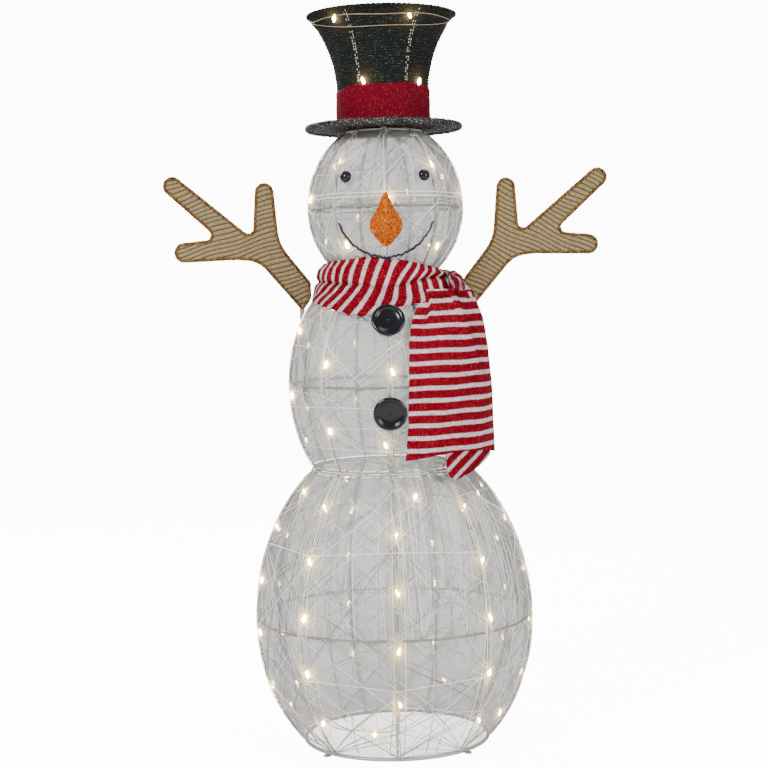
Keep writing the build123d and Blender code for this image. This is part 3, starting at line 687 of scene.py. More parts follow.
# Lathe pieces
def lathe(profile, segments, axis_plane=None):
    """Points and faces of a turned shape; the profile's ends lie on the axis or are left open."""
    profile = np.asarray(profile, float)
    turn = whole_turn(segments)
    points = around(profile[:, 0][:, None], turn[None], profile[:, 1][:, None]).reshape(-1, 3)
    faces = grid_faces(len(profile), segments, wrap_columns=True).tolist()
    if profile[0][0] < 1e-4:
        faces.append(list(range(segments))[::-1])
    if profile[-1][0] < 1e-4:
        start = (len(profile) - 1) * segments
        faces.append(list(range(start, start + segments)))
    if axis_plane is not None:
        origin, normal = axis_plane
        turned = Vector(normal).to_track_quat("Z", "Y").to_matrix()
        points = points @ np.array(turned).T + np.array(origin)
    return points, faces


def rounded(points, steps=6):
    """A soft line through the points by corner cutting."""
    line = np.asarray(points, float)
    for _ in range(steps // 2):
        a, b = line[:-1], line[1:]
        cut = np.stack([a * 0.75 + b * 0.25, a * 0.25 + b * 0.75], 1).reshape(-1, line.shape[1])
        line = np.concatenate([line[:1], cut, line[-1:]])
    return line


def surface_seat(ball, x, z, lift):
    """A point on the front of a ball's winding and the outward direction there."""
    slope = float(radius_at(ball, z + 0.002) - radius_at(ball, z - 0.002)) / 0.004
    up = -slope / math.hypot(1, slope)
    flat = 1 / math.hypot(1, slope)
    skin = float(radius_at(ball, z)) + (SKIN + lift) * flat
    y = -math.sqrt(skin ** 2 - x ** 2)
    normal = (x / skin * flat, y / skin * flat, up)
    return (x, y, z + (SKIN + lift) * up), normal


BUTTON_R = 0.034
button_profile = rounded([(0.0001, 0.0036), (0.0012, 0.0022), (0.0026, 0.0040), (0.0100, 0.0038),
                          (0.0180, 0.0044), (0.0235, 0.0060), (0.0262, 0.0088), (0.0300, 0.0098),
                          (0.0335, 0.0080), (BUTTON_R, 0.0045), (0.0330, 0.0012), (0.0280, 0.0002),
                          (0.0001, 0.0002)])
for name, height in (("upper_button", 0.887), ("lower_button", 0.707)):
    seat = surface_seat(BALLS["middle"], 0.0, height, 0.0002)
    points, faces = lathe(button_profile, 96, seat)
    mesh_object(f"{name}_turned", points, faces, BLACK, "middle_section", [name])

eye_angles = np.linspace(0, math.pi / 2, 14)
eye_profile = [(0.0001, 0.0)] + [(0.0119, 0.0), (0.0121, 0.0012)]
eye_profile += [(0.0118 * math.cos(a), 0.002 + 0.0098 * math.sin(a)) for a in eye_angles[:-1]]
eye_profile += [(0.00005, 0.0118)]
for name, side in (("left_eye", -1), ("right_eye", 1)):
    seat = surface_seat(BALLS["head"], 0.078 * side, 1.178, 0.0002)
    points, faces = lathe(eye_profile, 48, seat)
    mesh_object(f"{name}_dome", points, faces, BLACK, "head", [name])


# Mouth
def mouth():
    """The smile's dark covered wire with its small tie at the lowest point."""
    co = np.array([v.co for v in nodes["mouth_wire"].data.vertices], float)
    cuts = np.linspace(co[:, 0].min(), co[:, 0].max(), 50)
    line = [co[np.argsort(np.abs(co[:, 0] - x))[:14]].mean(0) for x in cuts]
    line = rounded(line, 4)
    low = line[len(line) // 2]
    tie = low + np.array([[-0.003, -0.002, 0.001], [0.001, -0.003, -0.004], [0.004, -0.0015, -0.010]])
    points, faces = tubes([line, tie], [0.0023, 0.0016], 10)
    mesh_object("mouth_covered_wire", points, faces, DARK_WIRE, "head", ["mouth_wire"])


mouth()


# Nose
def fibres(points, normals, count, length, radius, lean, seed):
    """Thin tapered spikes standing out of a surface."""
    pick = np.random.default_rng(seed)
    chosen = pick.integers(len(points), size=count)
    base = points[chosen]
    way = normals[chosen] + pick.normal(size=(count, 3)) * lean
    way /= np.linalg.norm(way, axis=1, keepdims=True)
    reach = length * pick.uniform(0.5, 1.1, count)
    side = np.cross(way, pick.normal(size=(count, 3)))
    side /= np.linalg.norm(side, axis=1, keepdims=True)
    other = np.cross(way, side)
    base = base - way * reach[:, None] * 0.3
    corners = [base + side * radius, base - side * radius * 0.5 + other * radius * 0.87,
               base - side * radius * 0.5 - other * radius * 0.87, base + way * reach[:, None] * 1.3]
    spikes = np.stack(corners, 1).reshape(-1, 3)
    first = np.arange(count)[:, None] * 4
    faces = np.concatenate([first + np.array(tri) for tri in ((0, 1, 3), (1, 2, 3), (2, 0, 3), (2, 1, 0))])
    return spikes, faces


def mesh_arrays(piece):
    mesh = piece.data
    co = np.zeros(len(mesh.vertices) * 3, np.float32)
    no = np.zeros(len(mesh.vertices) * 3, np.float32)
    mesh.vertices.foreach_get("co", co)
    mesh.vertices.foreach_get("normal", no)
    return co.reshape(-1, 3).astype(float), no.reshape(-1, 3).astype(float)


def remeshed(node, voxel):
    """A fine even mesh of a CAD node's shape: points and faces."""
    copy = bpy.data.objects.new("fine_copy", nodes[node].data.copy())
    bpy.context.scene.collection.objects.link(copy)
    modifier = copy.modifiers.new("even", "REMESH")
    modifier.mode = "VOXEL"
    modifier.voxel_size = voxel
    smooth = copy.modifiers.new("soft", "SMOOTH")
    smooth.iterations = 6
    shown = copy.evaluated_get(bpy.context.evaluated_depsgraph_get())
    mesh = shown.to_mesh()
    points = np.array([v.co for v in mesh.vertices], float)
    normals = np.array([v.normal for v in mesh.vertices], float)
    faces = [list(p.vertices) for p in mesh.polygons]
    shown.to_mesh_clear()
    bpy.data.objects.remove(copy)
    return points, normals, faces


points, normals, faces = remeshed("nose_cover", 0.0022)
drop = np.clip((points[:, 2].max() - points[:, 2]) / np.ptp(points[:, 2]), 0, 1)
points[:, 0] *= np.interp(drop, [0, 0.08, 0.25, 0.45, 0.6, 0.8, 1], [0.95, 0.85, 0.80, 0.93, 1.02, 1.05, 1.0])
points = points + normals * (0.0014 * waves(points, 3, 0.007, 2))[:, None]
mesh_object("nose_tinsel_body", points, faces, NOSE_TINSEL, "head", ["nose_cover"])
spikes, spike_faces = fibres(points, normals, 5200, 0.0042, 0.00035, 0.8, 4)
mesh_object("nose_tinsel_fibres", spikes, spike_faces, NOSE_TINSEL, "head", smooth=False)

# Hat
CROWN_R, CROWN_FOOT, CROWN_BEND = 0.095, 1.2915, 1.360
CROWN_FLARE, CROWN_TOP_R, CROWN_TOP = 0.243, 0.156, 1.521
BRIM_Z, BRIM_RIM_R, BRIM_TUBE, BRIM_HOLE = 1.288, 0.157, 0.0068, 0.075


def crown_radius(z):
    """Outside radius of the crown at heights z."""
    z = np.asarray(z, float)
    rise = np.clip(z - CROWN_BEND, 0, None)
    return CROWN_R + CROWN_FLARE - np.sqrt(CROWN_FLARE ** 2 - np.minimum(rise, 0.2) ** 2)


def hat_crown():
    rows, segments = 250, 420
    z = np.linspace(CROWN_FOOT, CROWN_TOP - 0.001, rows)
    turn = whole_turn(segments)
    flat = around(crown_radius(z)[:, None], turn[None], z[:, None]).reshape(-1, 3)
    lift = np.repeat((z - CROWN_FOOT) / (CROWN_TOP - CROWN_FOOT), segments)
    angle = np.tile(turn, rows)
    cord = np.abs(np.sin(math.pi * (flat[:, 2] + 0.0015 * waves(flat, 8, 0.12, 1)) / ROW))
    stitch = np.sin(angle * CROWN_R * 2 * math.pi / 0.0042)
    drape = 0.5 * (1 - np.cos(HAT_RIBS * (angle - FRONT - math.radians(30))))
    out = 0.0011 * cord + 0.00025 * stitch * cord - 0.0032 * drape * lift + 0.0007 * waves(flat, 9, 0.05)
    way = around(1.0, angle, 0.0)
    points = flat + way * (out - 0.0008)[:, None]
    glow = glow_at(points, HAT_LAMPS, 0.010)
    # The knit rows also give painted shade in the hollows between them.
    mesh_object("crown_knit_tube", points, grid_faces(rows, segments, wrap_columns=True), CROWN_KNIT,
                "hat", ["crown_cover"], values={"hollow_shade": (1 - cord) ** 2, "glow": glow})


def hat_top():
    rings, segments = 60, 180
    r = np.linspace(0.0005, 0.1525, rings)
    turn = whole_turn(segments)
    z = CROWN_TOP - 0.0018 - 0.004 * (1 - (r / 0.1525) ** 2)
    points = around(r[:, None], turn[None], z[:, None]).reshape(-1, 3)
    cord = np.abs(np.sin(math.pi * np.repeat(r, segments) / ROW))
    points[:, 2] += 0.0009 * cord + 0.0008 * waves(points, 12, 0.06)
    faces = grid_faces(rings, segments, wrap_columns=True).tolist() + [list(range(segments))]
    # Painted shade in the hollows between the knit rings of the top.
    mesh_object("crown_knit_top", points, faces, CROWN_KNIT, "hat", ["crown_top_cover"],
                values={"hollow_shade": (1 - cord) ** 2, "glow": np.zeros(len(points))})
    rim = []
    turn = np.linspace(0, 2 * math.pi, 300, endpoint=False)
    for strand in range(2):
        twist = turn * 46 + strand * math.pi
        rim.append(around(CROWN_TOP_R - 0.0026 + 0.0014 * np.cos(twist), turn,
                          CROWN_TOP - 0.0022 + 0.0014 * np.sin(twist)))
    loops = [np.concatenate([line, line[:2]]) for line in rim]
    points, faces = tubes(loops, [0.0018] * 2, 6)
    mesh_object("crown_top_piping", points, faces, CROWN_KNIT, "hat",
                values={"hollow_shade": np.zeros(len(points)), "glow": glow_at(points, HAT_LAMPS, 0.010)})


def hat_band():
    rows, segments = 70, 420
    turn = whole_turn(segments)
    top = 1.3585 + 0.0062 * (1 + np.sin(turn - FRONT - 0.35 + math.pi / 2)) + 0.0015 * np.sin(5 * turn)
    share = np.linspace(0, 1, rows)[:, None]
    z = (CROWN_FOOT + 0.0004) * (1 - share) + top[None] * share
    flat = around(CROWN_R + 0.0016, turn[None], z).reshape(-1, 3)
    angle = np.tile(turn, rows)
    column = np.abs(np.sin(angle * CROWN_R * math.pi / 0.0026))
    row = np.abs(np.sin(math.pi * flat[:, 2] / 0.0030))
    out = 0.0006 * column * (0.4 + 0.6 * row) + 0.0008 * waves(flat, 14, 0.05)
    edge = np.minimum(np.repeat(share[:, 0], segments), 1 - np.repeat(share[:, 0], segments))
    out = out + 0.0009 * np.minimum(edge * 18, 1)
    points = flat + around(1.0, angle, 0.0) * out[:, None]
    # Painted shade in the hollows between the knit columns and rows.
    hollow_shade = 0.6 * (1 - column * (0.5 + 0.5 * row))
    piece = mesh_object("hat_band_knit", points, grid_faces(rows, segments, wrap_columns=True), BAND_KNIT,
                        "hat", ["hat_band"],
                        values={"hollow_shade": hollow_shade, "glow": np.zeros(len(points))})
    piece.modifiers.new("cloth", "SOLIDIFY").thickness = 0.0012
    return piece


def hat_brim():
    segments = 300
    arc = np.linspace(math.radians(-155), math.radians(155), 26)
    rim = np.stack([BRIM_RIM_R + BRIM_TUBE * np.cos(arc), BRIM_Z + BRIM_TUBE * np.sin(arc)], 1)
    web_out = np.linspace(BRIM_HOLE, BRIM_RIM_R - BRIM_TUBE, 26)
    low = np.stack([web_out, np.full(26, BRIM_Z - 0.0028)], 1)
    high = np.stack([web_out[::-1], np.full(26, BRIM_Z + 0.0028)], 1)
    profile = np.concatenate([low, rim, high])
    turn = whole_turn(segments)
    flat = around(profile[:, 0][:, None], turn[None], profile[:, 1][:, None]).reshape(-1, 3)
    centre = np.stack([np.hypot(flat[:, 0], flat[:, 1]), flat[:, 2]], 1) - np.array([BRIM_RIM_R, BRIM_Z])
    on_rim = np.exp(-np.maximum(0, -centre[:, 0] - BRIM_TUBE) / 0.004)
    out = centre / np.maximum(np.linalg.norm(centre, axis=1, keepdims=True), 1e-9)
    radial = flat * np.array([1, 1, 0]) / np.hypot(flat[:, 0], flat[:, 1])[:, None]
    way = radial * (out[:, :1] * on_rim[:, None])
    way[:, 2] = out[:, 1] * on_rim + np.sign(centre[:, 1]) * (1 - on_rim)
    points = flat + way * (0.0011 * waves(flat, 21, 0.008, 2))[:, None]
    faces = grid_faces(len(profile), segments, wrap_rows=True, wrap_columns=True)
    piece = mesh_object("brim_tinsel_body", points, faces, BRIM_TINSEL, "hat", ["brim_cover"])
    co, no = mesh_arrays(piece)
    spikes, spike_faces = fibres(co, no, 9000, 0.0040, 0.00032, 0.8, 22)
    mesh_object("brim_tinsel_fibres", spikes, spike_faces, BRIM_TINSEL, "hat",
                smooth=False)


def hat_dashes():
    """Pale frame wire that shows between the knit rows along every crown rib."""
    points, faces = [], []
    shape, shape_faces = lamp_shape(0.0050, 0.0011, 5, 6)
    count = 0
    for k in range(HAT_RIBS):
        for strand in (-1, 1):
            turn = FRONT + math.radians(30) + k * 2 * math.pi / HAT_RIBS + strand * 0.020
            z = CROWN_BEND + 0.006
            while z < CROWN_TOP - 0.006:
                lean = math.atan((z - CROWN_BEND) / CROWN_FLARE)
                tilt = Matrix.Rotation(turn, 3, "Z") @ Matrix.Rotation(lean, 3, "Y")
                place = around(float(crown_radius(z)) + 0.0002, turn, z)
                points.append(shape @ np.array(tilt).T + place)
                faces += [[i + count for i in face] for face in shape_faces]
                count += len(shape)
                z += ROW * (1 if rng.random() < 0.55 else 2)
    mesh_object("crown_wire_showing", np.concatenate(points), faces, RING_WIRE, "hat")


def hat_wire_loops():
    """The light string where its two runs show just under the loose knit near the top."""
    turn = np.linspace(0, 2 * math.pi, 200)
    sag = np.abs(np.cos(turn - FRONT)) ** 0.8
    high = 1.507 - 0.0045 * sag + 0.0015 * np.sin(5 * turn)
    low = 1.507 - 0.0275 * sag + 0.0012 * np.sin(4 * turn + 1)
    lines = [around(crown_radius(high) + 0.0010, turn, high), around(crown_radius(low) + 0.0009, turn, low)]
    points, faces = tubes(lines, [0.0009, 0.0008], 5)
    mesh_object("hat_string_showing", points, faces, CLEAR_WIRE, "hat")


hat_centres = LAMPS["hat"]
turn_of = np.arctan2(hat_centres[:, 1], hat_centres[:, 0])
HAT_LAMPS = around(crown_radius(hat_centres[:, 2]) + 0.0022, turn_of, hat_centres[:, 2])
hat_crown()
hat_top()
hat_band()
hat_brim()
hat_dashes()
hat_wire_loops()
lamps("hat_lamps", HAT_LAMPS, "hat", "hat_led_bulbs")


# Arms
EDGE_TUBE = 0.0041
CORD = 0.0094
WEAVE = 0.0028
OUTLINE_STEP = 0.0015


def flat_outline(node):
    """The outline of a flat CAD plate that lies in the X-Z plane, as an ordered loop."""
    mesh = nodes[node].data
    co = np.array([v.co for v in mesh.vertices], float)
    front = {}
    for polygon in mesh.polygons:
        if polygon.normal.y < -0.9:
            ids = list(polygon.vertices)
            for a, b in zip(ids, ids[1:] + ids[:1]):
                ka, kb = (tuple(np.round(co[i][[0, 2]], 5)) for i in (a, b))
                if ka != kb:
                    front[(ka, kb)] = True
    edges = np.array([edge for edge in front if edge[::-1] not in front])
    loop, here = [], 0
    for _ in range(len(edges)):
        loop.append(edges[here, 0].copy())
        end = edges[here, 1].copy()
        edges[here, 0] = 9.0
        here = int(np.argmin(np.linalg.norm(edges[:, 0] - end, axis=1)))
    return np.array(loop)


def resampled(loop, step):
    closed = np.concatenate([loop, loop[:1]])
    along = np.concatenate([[0], np.cumsum(np.linalg.norm(np.diff(closed, axis=0), axis=1))])
    at = np.linspace(0, along[-1], max(8, int(along[-1] / step)), endpoint=False)
    return np.stack([np.interp(at, along, closed[:, k]) for k in range(2)], 1)


def inside(points, loop):
    """Even-odd test of points against a closed outline."""
    hit = np.zeros(len(points), bool)
    x, z = points[:, 0], points[:, 1]
    for (x1, z1), (x2, z2) in zip(loop, np.roll(loop, -1, axis=0)):
        if z1 != z2:
            crosses = (z1 > z) != (z2 > z)
            hit ^= crosses & (x < (x2 - x1) * (z - z1) / (z2 - z1) + x1)
    return hit


def arm(side):
    body = f"{side}_arm"
    loop = resampled(flat_outline(f"{side}_arm_mesh"), OUTLINE_STEP)
    following = np.roll(loop, -1, axis=0) - np.roll(loop, 1, axis=0)
    following /= np.linalg.norm(following, axis=1, keepdims=True)
    away = np.stack([following[:, 1], -following[:, 0]], 1)
    if inside(loop[:1] + away[:1] * 0.003, loop)[0]:
        away = -away
    # corded mesh between the edging
    step = 0.0011
    low, high = loop.min(0) - 0.003, loop.max(0) + 0.003
    xs, zs = np.arange(low[0], high[0], step), np.arange(low[1], high[1], step)
    grid = np.stack(np.meshgrid(xs, zs, indexing="xy"), -1).reshape(-1, 2)
    wide = loop + away * 0.0022
    keep = inside(grid, wide)
    quads = grid_faces(len(zs), len(xs))
    quads = quads[keep[quads].all(1)]
    used, flat = np.unique(quads, return_inverse=True)
    flat = flat.reshape(quads.shape)
    place = grid[used]
    mirror = -1 if side == "left" else 1
    rise = math.radians(17 if side == "left" else 27)
    across = place[:, 0] * mirror * math.sin(rise) + place[:, 1] * math.cos(rise)
    bend = 0.0022 * np.sin(place[:, 0] * 55) + 0.0012 * np.sin(place[:, 1] * 90)
    cord = np.abs(np.sin(math.pi * (across + bend) / CORD))
    weave = np.sin(place[:, 0] * mirror * 0.8 * 2 * math.pi / WEAVE
                   - place[:, 1] * 0.6 * 2 * math.pi / WEAVE)
    depth = 0.0016 * cord ** 0.6 + 0.00022 * weave
    puff = 0.0006 * waves(np.stack([place[:, 0], 0 * depth, place[:, 1]], 1), 41, 0.03)
    front = np.stack([place[:, 0], -depth - puff, place[:, 1]], 1)
    back = np.stack([place[:, 0], depth - puff, place[:, 1]], 1)
    count = len(front)
    edges = {}
    for quad in flat:
        for a, b in zip(quad, np.roll(quad, -1)):
            edges[(a, b)] = True
    rim = [(b, a, a + count, b + count) for (a, b) in edges if (b, a) not in edges]
    faces = [tuple(q) for q in flat] + [tuple(q[::-1] + count) for q in flat] + rim
    # Painted shade in the grooves between the cords.
    hollow_shade = np.clip(1.15 - cord * 1.9, 0, 1)
    mesh_object(f"{side}_arm_corded_mesh", np.concatenate([front, back]), faces, ARM_MESH, body,
                [f"{side}_arm_mesh"], values={"hollow_shade": np.tile(hollow_shade, 2)})
    # twisted edging
    path = loop + away * EDGE_TUBE
    centre = np.stack([path[:, 0], 0 * path[:, 0], path[:, 1]], 1)
    out = np.stack([away[:, 0], 0 * away[:, 0], away[:, 1]], 1)
    length = np.arange(len(path)) * OUTLINE_STEP
    turns = max(1, round(length[-1] / 0.011))
    strands = []
    for strand in range(3):
        angle = length / length[-1] * turns * 2 * math.pi + strand * 2 * math.pi / 3
        offset = out * np.cos(angle)[:, None] + np.array([[0, 1.0, 0]]) * np.sin(angle)[:, None]
        line = centre + offset * 0.0020
        strands.append(np.concatenate([line, line[:2]]))
    points, faces = tubes(strands, [0.0019 + 0.0003 * waves(s, 6, 0.008, 1) for s in strands], 7)
    mesh_object(f"{side}_arm_twisted_edging", points, faces, EDGING, body, [f"{side}_arm_edging"])
    hub = np.concatenate(strands)
    hub_out = hub - np.tile(np.concatenate([centre, centre[:2]]), (3, 1))
    hub_out /= np.linalg.norm(hub_out, axis=1, keepdims=True)
    spikes, spike_faces = fibres(hub, hub_out, 3600, 0.0046, 0.00032, 0.7, 51)
    mesh_object(f"{side}_arm_edging_fibres", spikes, spike_faces, EDGING, body,
                smooth=False)


arm("left")
arm("right")


# Scarf
MIDDLE = BALLS["middle"]


def along_turn(degrees, table):
    """Values of a (degrees from the front, value) table at the angles, the same all the way round."""
    table = np.asarray(table, float)
    at = (degrees + 180) % 360 - 180
    return np.interp(at, table[:, 0], table[:, 1])


def along_height(z, table):
    """Values of a (height, value) table, heights in rising order."""
    table = np.asarray(table, float)
    return np.interp(z, table[:, 0], table[:, 1])


def knit(points, uv, faces, height=0.0009):
    """Moves the points of a cloth grid out by its stitches and gives the painted shade that darkens the
    stitch hollows.
    """
    mesh = bpy.data.meshes.new("normals")
    mesh.from_pydata([tuple(p) for p in points], [], [tuple(f) for f in faces])
    mesh.update()
    normals = np.zeros(len(points) * 3, np.float32)
    mesh.vertices.foreach_get("normal", normals)
    bpy.data.meshes.remove(mesh)
    normals = normals.reshape(-1, 3)
    column = np.abs(np.sin(math.pi * uv[:, 1] / STITCH))
    slant = np.abs(((uv[:, 1] / STITCH) % 1) - 0.5) * 2
    row = np.abs(np.sin(math.pi * (uv[:, 0] + slant * 0.0020) / (STITCH * 0.8)))
    loops = column ** 0.5 * (0.45 + 0.55 * row ** 0.6)
    return points + normals * (height * (loops - 0.6))[:, None], np.clip(1 - loops * 1.5, 0, 1) * 0.75


def cloth_piece(name, grid, uv, replaces, wrap=False, flip=False, thickness=0.0022, shade=0.0):
    """A knitted sheet from a grid of points; shade darkens the bottom of folds."""
    rows, columns = grid.shape[:2]
    faces = grid_faces(rows, columns, wrap_rows=wrap)
    if flip:
        faces = faces[:, ::-1]
    flat_uv = uv.reshape(-1, 2)
    points, hollow_shade = knit(grid.reshape(-1, 3), flat_uv, faces)
    hollow_shade = np.clip(hollow_shade + np.broadcast_to(shade, (rows, columns)).ravel(), 0, 1)
    piece = mesh_object(name, points, faces, SCARF, "middle_section", replaces,
                        uv=flat_uv, values={"hollow_shade": hollow_shade})
    solid = piece.modifiers.new("cloth", "SOLIDIFY")
    solid.thickness = thickness
    solid.offset = -1
    return piece


def soft_step(x):
    x = np.clip(x, 0, 1)
    return x * x * (3 - 2 * x)


LOOP_TOP = [(-180, 0.999), (-120, 1.002), (-75, 1.006), (-44, 1.011), (-15, 1.0165), (0, 1.012),
            (13, 1.009), (34, 0.999), (48, 0.993), (60, 0.988), (80, 0.984), (120, 0.990), (180, 0.999)]
LOOP_FOOT = [(-180, 0.950), (-97, 0.949), (-86, 0.946), (-77, 0.935), (-60, 0.926), (-45, 0.917),
             (-23, 0.9025), (-14, 0.901), (-7, 0.905), (6, 0.9155), (20, 0.9225), (32, 0.928), (48, 0.930),
             (60, 0.927), (70, 0.928), (82, 0.944), (97, 0.949), (140, 0.950), (180, 0.950)]
LOOP_CREASE = [(-180, 0.972), (-70, 0.970), (-22, 0.962), (0, 0.952), (20, 0.966), (40, 0.975), (60, 0.972),
               (90, 0.968), (180, 0.972)]
UPPER_SLOPE = [(-180, 0.15), (-75, 0.15), (-20, 0.22), (5, 0.40), (20, 0.95), (45, 1.15), (75, 0.9),
               (110, 0.3), (180, 0.15)]
LOWER_SLOPE = [(-180, 0.3), (-80, 0.70), (-45, 0.70), (-20, 0.40), (0, 0.30), (15, 0.10), (30, 0.0),
               (60, 0.0), (100, 0.2), (180, 0.3)]
FOLD_DEPTH = [(-180, .3), (-90, 1), (-30, 1), (-10, .35), (12, .8), (35, 1.2), (60, .8), (100, .3), (180, .3)]
LOOP_SHOULDER = [(0.903, 0.2055), (0.915, 0.2005), (0.941, 0.1870), (0.966, 0.1610), (0.985, 0.1420)]


def scarf_loop():
    """The strip folded lengthwise round the neck: up the inside, over the top, down the outside."""
    rows, columns = 900, 150
    degrees = np.linspace(-180, 180, rows, endpoint=False)[:, None]
    share = np.linspace(0, 1, columns)[None]
    top = along_turn(degrees, LOOP_TOP)
    foot = along_turn(degrees, LOOP_FOOT)
    crease = along_turn(degrees, LOOP_CREASE)
    arc = np.radians(degrees) * 0.150
    teeth = np.clip(np.sin(2 * math.pi * (arc - 0.5 * (foot - crease)) / KNIT_PITCH - 0.9), 0, 1)
    ragged = along_turn(degrees, [(-180, 0), (-80, 0), (-65, 1), (-5, 1), (5, 0), (180, 0)])
    foot = foot - 0.0035 * teeth * ragged
    inner = soft_step(share / 0.36)
    outer = np.clip((share - 0.40) / 0.60, 0, 1)
    z = np.where(share < 0.38, foot + 0.012 + (top - foot - 0.012) * inner, top - (top - foot) * outer)
    skin = radius_at(MIDDLE, np.clip(z, 0.757, 0.982)) + SKIN
    neck = np.where(z > 0.982, 0.1330, skin + 0.0024)
    hang = 0.1395 + (1.006 - z) * 0.235
    shoulder = along_height(z, LOOP_SHOULDER)
    on_shoulder = np.exp(-((degrees - 66) / 11.0) ** 2)
    cloth = np.maximum(hang, skin + 0.0078)
    cloth = cloth + np.clip(shoulder - cloth, 0, 0.03) * on_shoulder
    away = z - crease
    fold = np.exp(-(away / 0.0045) ** 2) * along_turn(degrees, FOLD_DEPTH)
    swell = np.sin(math.pi * np.clip(away / np.maximum(top - crease, 0.01), 0, 1)) * 0.0035
    swell = swell + np.sin(math.pi * np.clip(-away / np.maximum(crease - foot, 0.01), 0, 1)) * 0.0030
    wander = 0.0012 * np.sin(np.radians(degrees) * 9 + 40 * away)
    wander = wander + 0.0010 * np.sin(np.radians(degrees) * 17 - 70 * away)
    low_fold = np.exp(-((z - foot - 0.019) / 0.004) ** 2) * np.exp(-((degrees - 4) / 12.0) ** 2)
    relief = swell - 0.0034 * fold - 0.0022 * low_fold + wander
    round_top = np.sqrt(np.clip(outer / 0.14, 0, 1))
    outside = np.maximum(cloth + relief * round_top, skin + 0.0055)
    neck_at_top = np.where(top > 0.982, 0.1330, skin + 0.0024)
    outside = neck_at_top * (1 - round_top) + outside * round_top
    tuck = 0.003 * np.clip((outer - 0.93) / 0.07, 0, 1)
    radius = np.where(share < 0.38, neck, outside - tuck)
    arms = np.exp(-((np.abs(degrees) - 90) / 5.0) ** 2)
    radius = np.minimum(radius, 0.1560 + 1.0 * (1 - arms) * 0.06)
    grid = around(radius, np.radians(degrees) + FRONT, z)
    slope = np.where(away > 0, along_turn(degrees, UPPER_SLOPE), along_turn(degrees, LOWER_SLOPE))
    curl = 0.35 * np.clip(foot + 0.017 - z, 0, 1) * np.exp(-((degrees + 2) / 22.0) ** 2)
    along = arc - slope * away + curl
    uv = np.stack([along + 0 * share, share * STRIP_WIDTH + 0 * degrees], -1)
    shade = 0.55 * fold * round_top + 0.35 * low_fold * (share > 0.4)
    return cloth_piece("scarf_neck_loop", grid, uv, ["scarf_loop"], wrap=True, shade=shade)


TAIL_LEFT = [(0.611, 7.4), (0.683, 9.3), (0.754, 9.9), (0.844, 11.2), (0.889, 14.3), (0.918, 20.5),
             (0.950, 24.0)]
TAIL_RIGHT = [(0.611, 77.5), (0.677, 77.0), (0.757, 76.5), (0.785, 75.0), (0.837, 73.0), (0.892, 71.0),
              (0.945, 67.0), (0.960, 62.0)]
TAIL_RIGHT_R = [(0.611, 0.2222), (0.730, 0.2215), (0.785, 0.2190), (0.837, 0.2155), (0.892, 0.2090),
                (0.945, 0.1930), (0.960, 0.180)]


def scarf_tail():
    """The end that hangs over the middle ball and straight down below its equator."""
    rows, columns = 420, 190
    down = np.linspace(0, 1, rows)[:, None]
    share = np.linspace(0, 1, columns)[None]
    top = 0.950 + 0.010 * soft_step((share - 0.5) / 0.4)
    foot = 0.6105 + 0.0125 * np.sin(math.pi * share)
    z = top - (top - foot) * down
    skin = radius_at(MIDDLE, np.clip(z, 0.757, 0.98)) + SKIN
    left = along_height(z, TAIL_LEFT)
    right = along_height(z, TAIL_RIGHT)
    degrees = left + (right - left) * share
    near = skin + 0.0052
    far = np.maximum(along_height(z, TAIL_RIGHT_R), near)
    radius = near * (1 - share ** 1.3) + far * share ** 1.3
    # soft pleat down the right side, short pleats under the loop
    ridge = along_height(z, [(0.611, 0.80), (0.76, 0.735), (0.85, 0.66), (0.93, 0.60)])
    depth = along_height(z, [(0.66, 0.0), (0.74, 0.25), (0.80, 0.8), (0.86, 1.0), (0.95, 1.0)])
    step = soft_step((share - ridge) / 0.05) * np.exp(-np.clip(share - ridge, 0, 1) / 0.20)
    radius = radius + depth * (0.0030 * np.exp(-((share - ridge + 0.03) / 0.09) ** 2) - 0.0042 * step)
    short = soft_step((z - 0.872) / 0.03)
    pleat = soft_step((share - 0.155) / 0.025)
    radius = radius + short * (0.0030 * pleat * np.exp(-np.clip(share - 0.18, 0, 1) / 0.15) - 0.0012)
    second = soft_step((z - 0.897) / 0.02) * soft_step((share - 0.50) / 0.03)
    radius = radius + 0.0030 * np.exp(-((share - 0.50) / 0.05) ** 2) * soft_step((z - 0.897) / 0.02)
    ripple = 0.0011 * np.sin(2 * math.pi * (1.6 * share + 0.2 * down) - 0.6) * np.clip(down * 2, 0, 1)
    low_wave = 0.0016 * np.sin(2 * math.pi * 1.1 * share + 0.5) * soft_step((0.70 - z) / 0.09)
    radius = np.maximum(radius + ripple + low_wave, skin + 0.0036)
    grid = around(radius, np.radians(degrees) + FRONT, z)
    drop = 0.0085 * short * (1 - pleat) - 0.0035 * second * (1 - soft_step((share - 0.62) / 0.1))
    sway = 0.0006 * np.sin(2 * math.pi * (2.2 * share + 1.5 * down)) + 0.0012 * depth * step
    along = 0.6169 + 0.30 * KNIT_PITCH + KNIT_PITCH * 40 - z - drop + sway
    uv = np.stack([along, share * STRIP_WIDTH + 0 * down], -1)
    shade = 0.35 * depth * step + 0.5 * short * np.exp(-((share - 0.150) / 0.018) ** 2)
    shade = shade + 0.45 * np.exp(-((z - 0.9345) / 0.006) ** 2) * (share > 0.1)
    return cloth_piece("scarf_hanging_tail", grid, uv, ["scarf_tail"], flip=True, shade=shade)


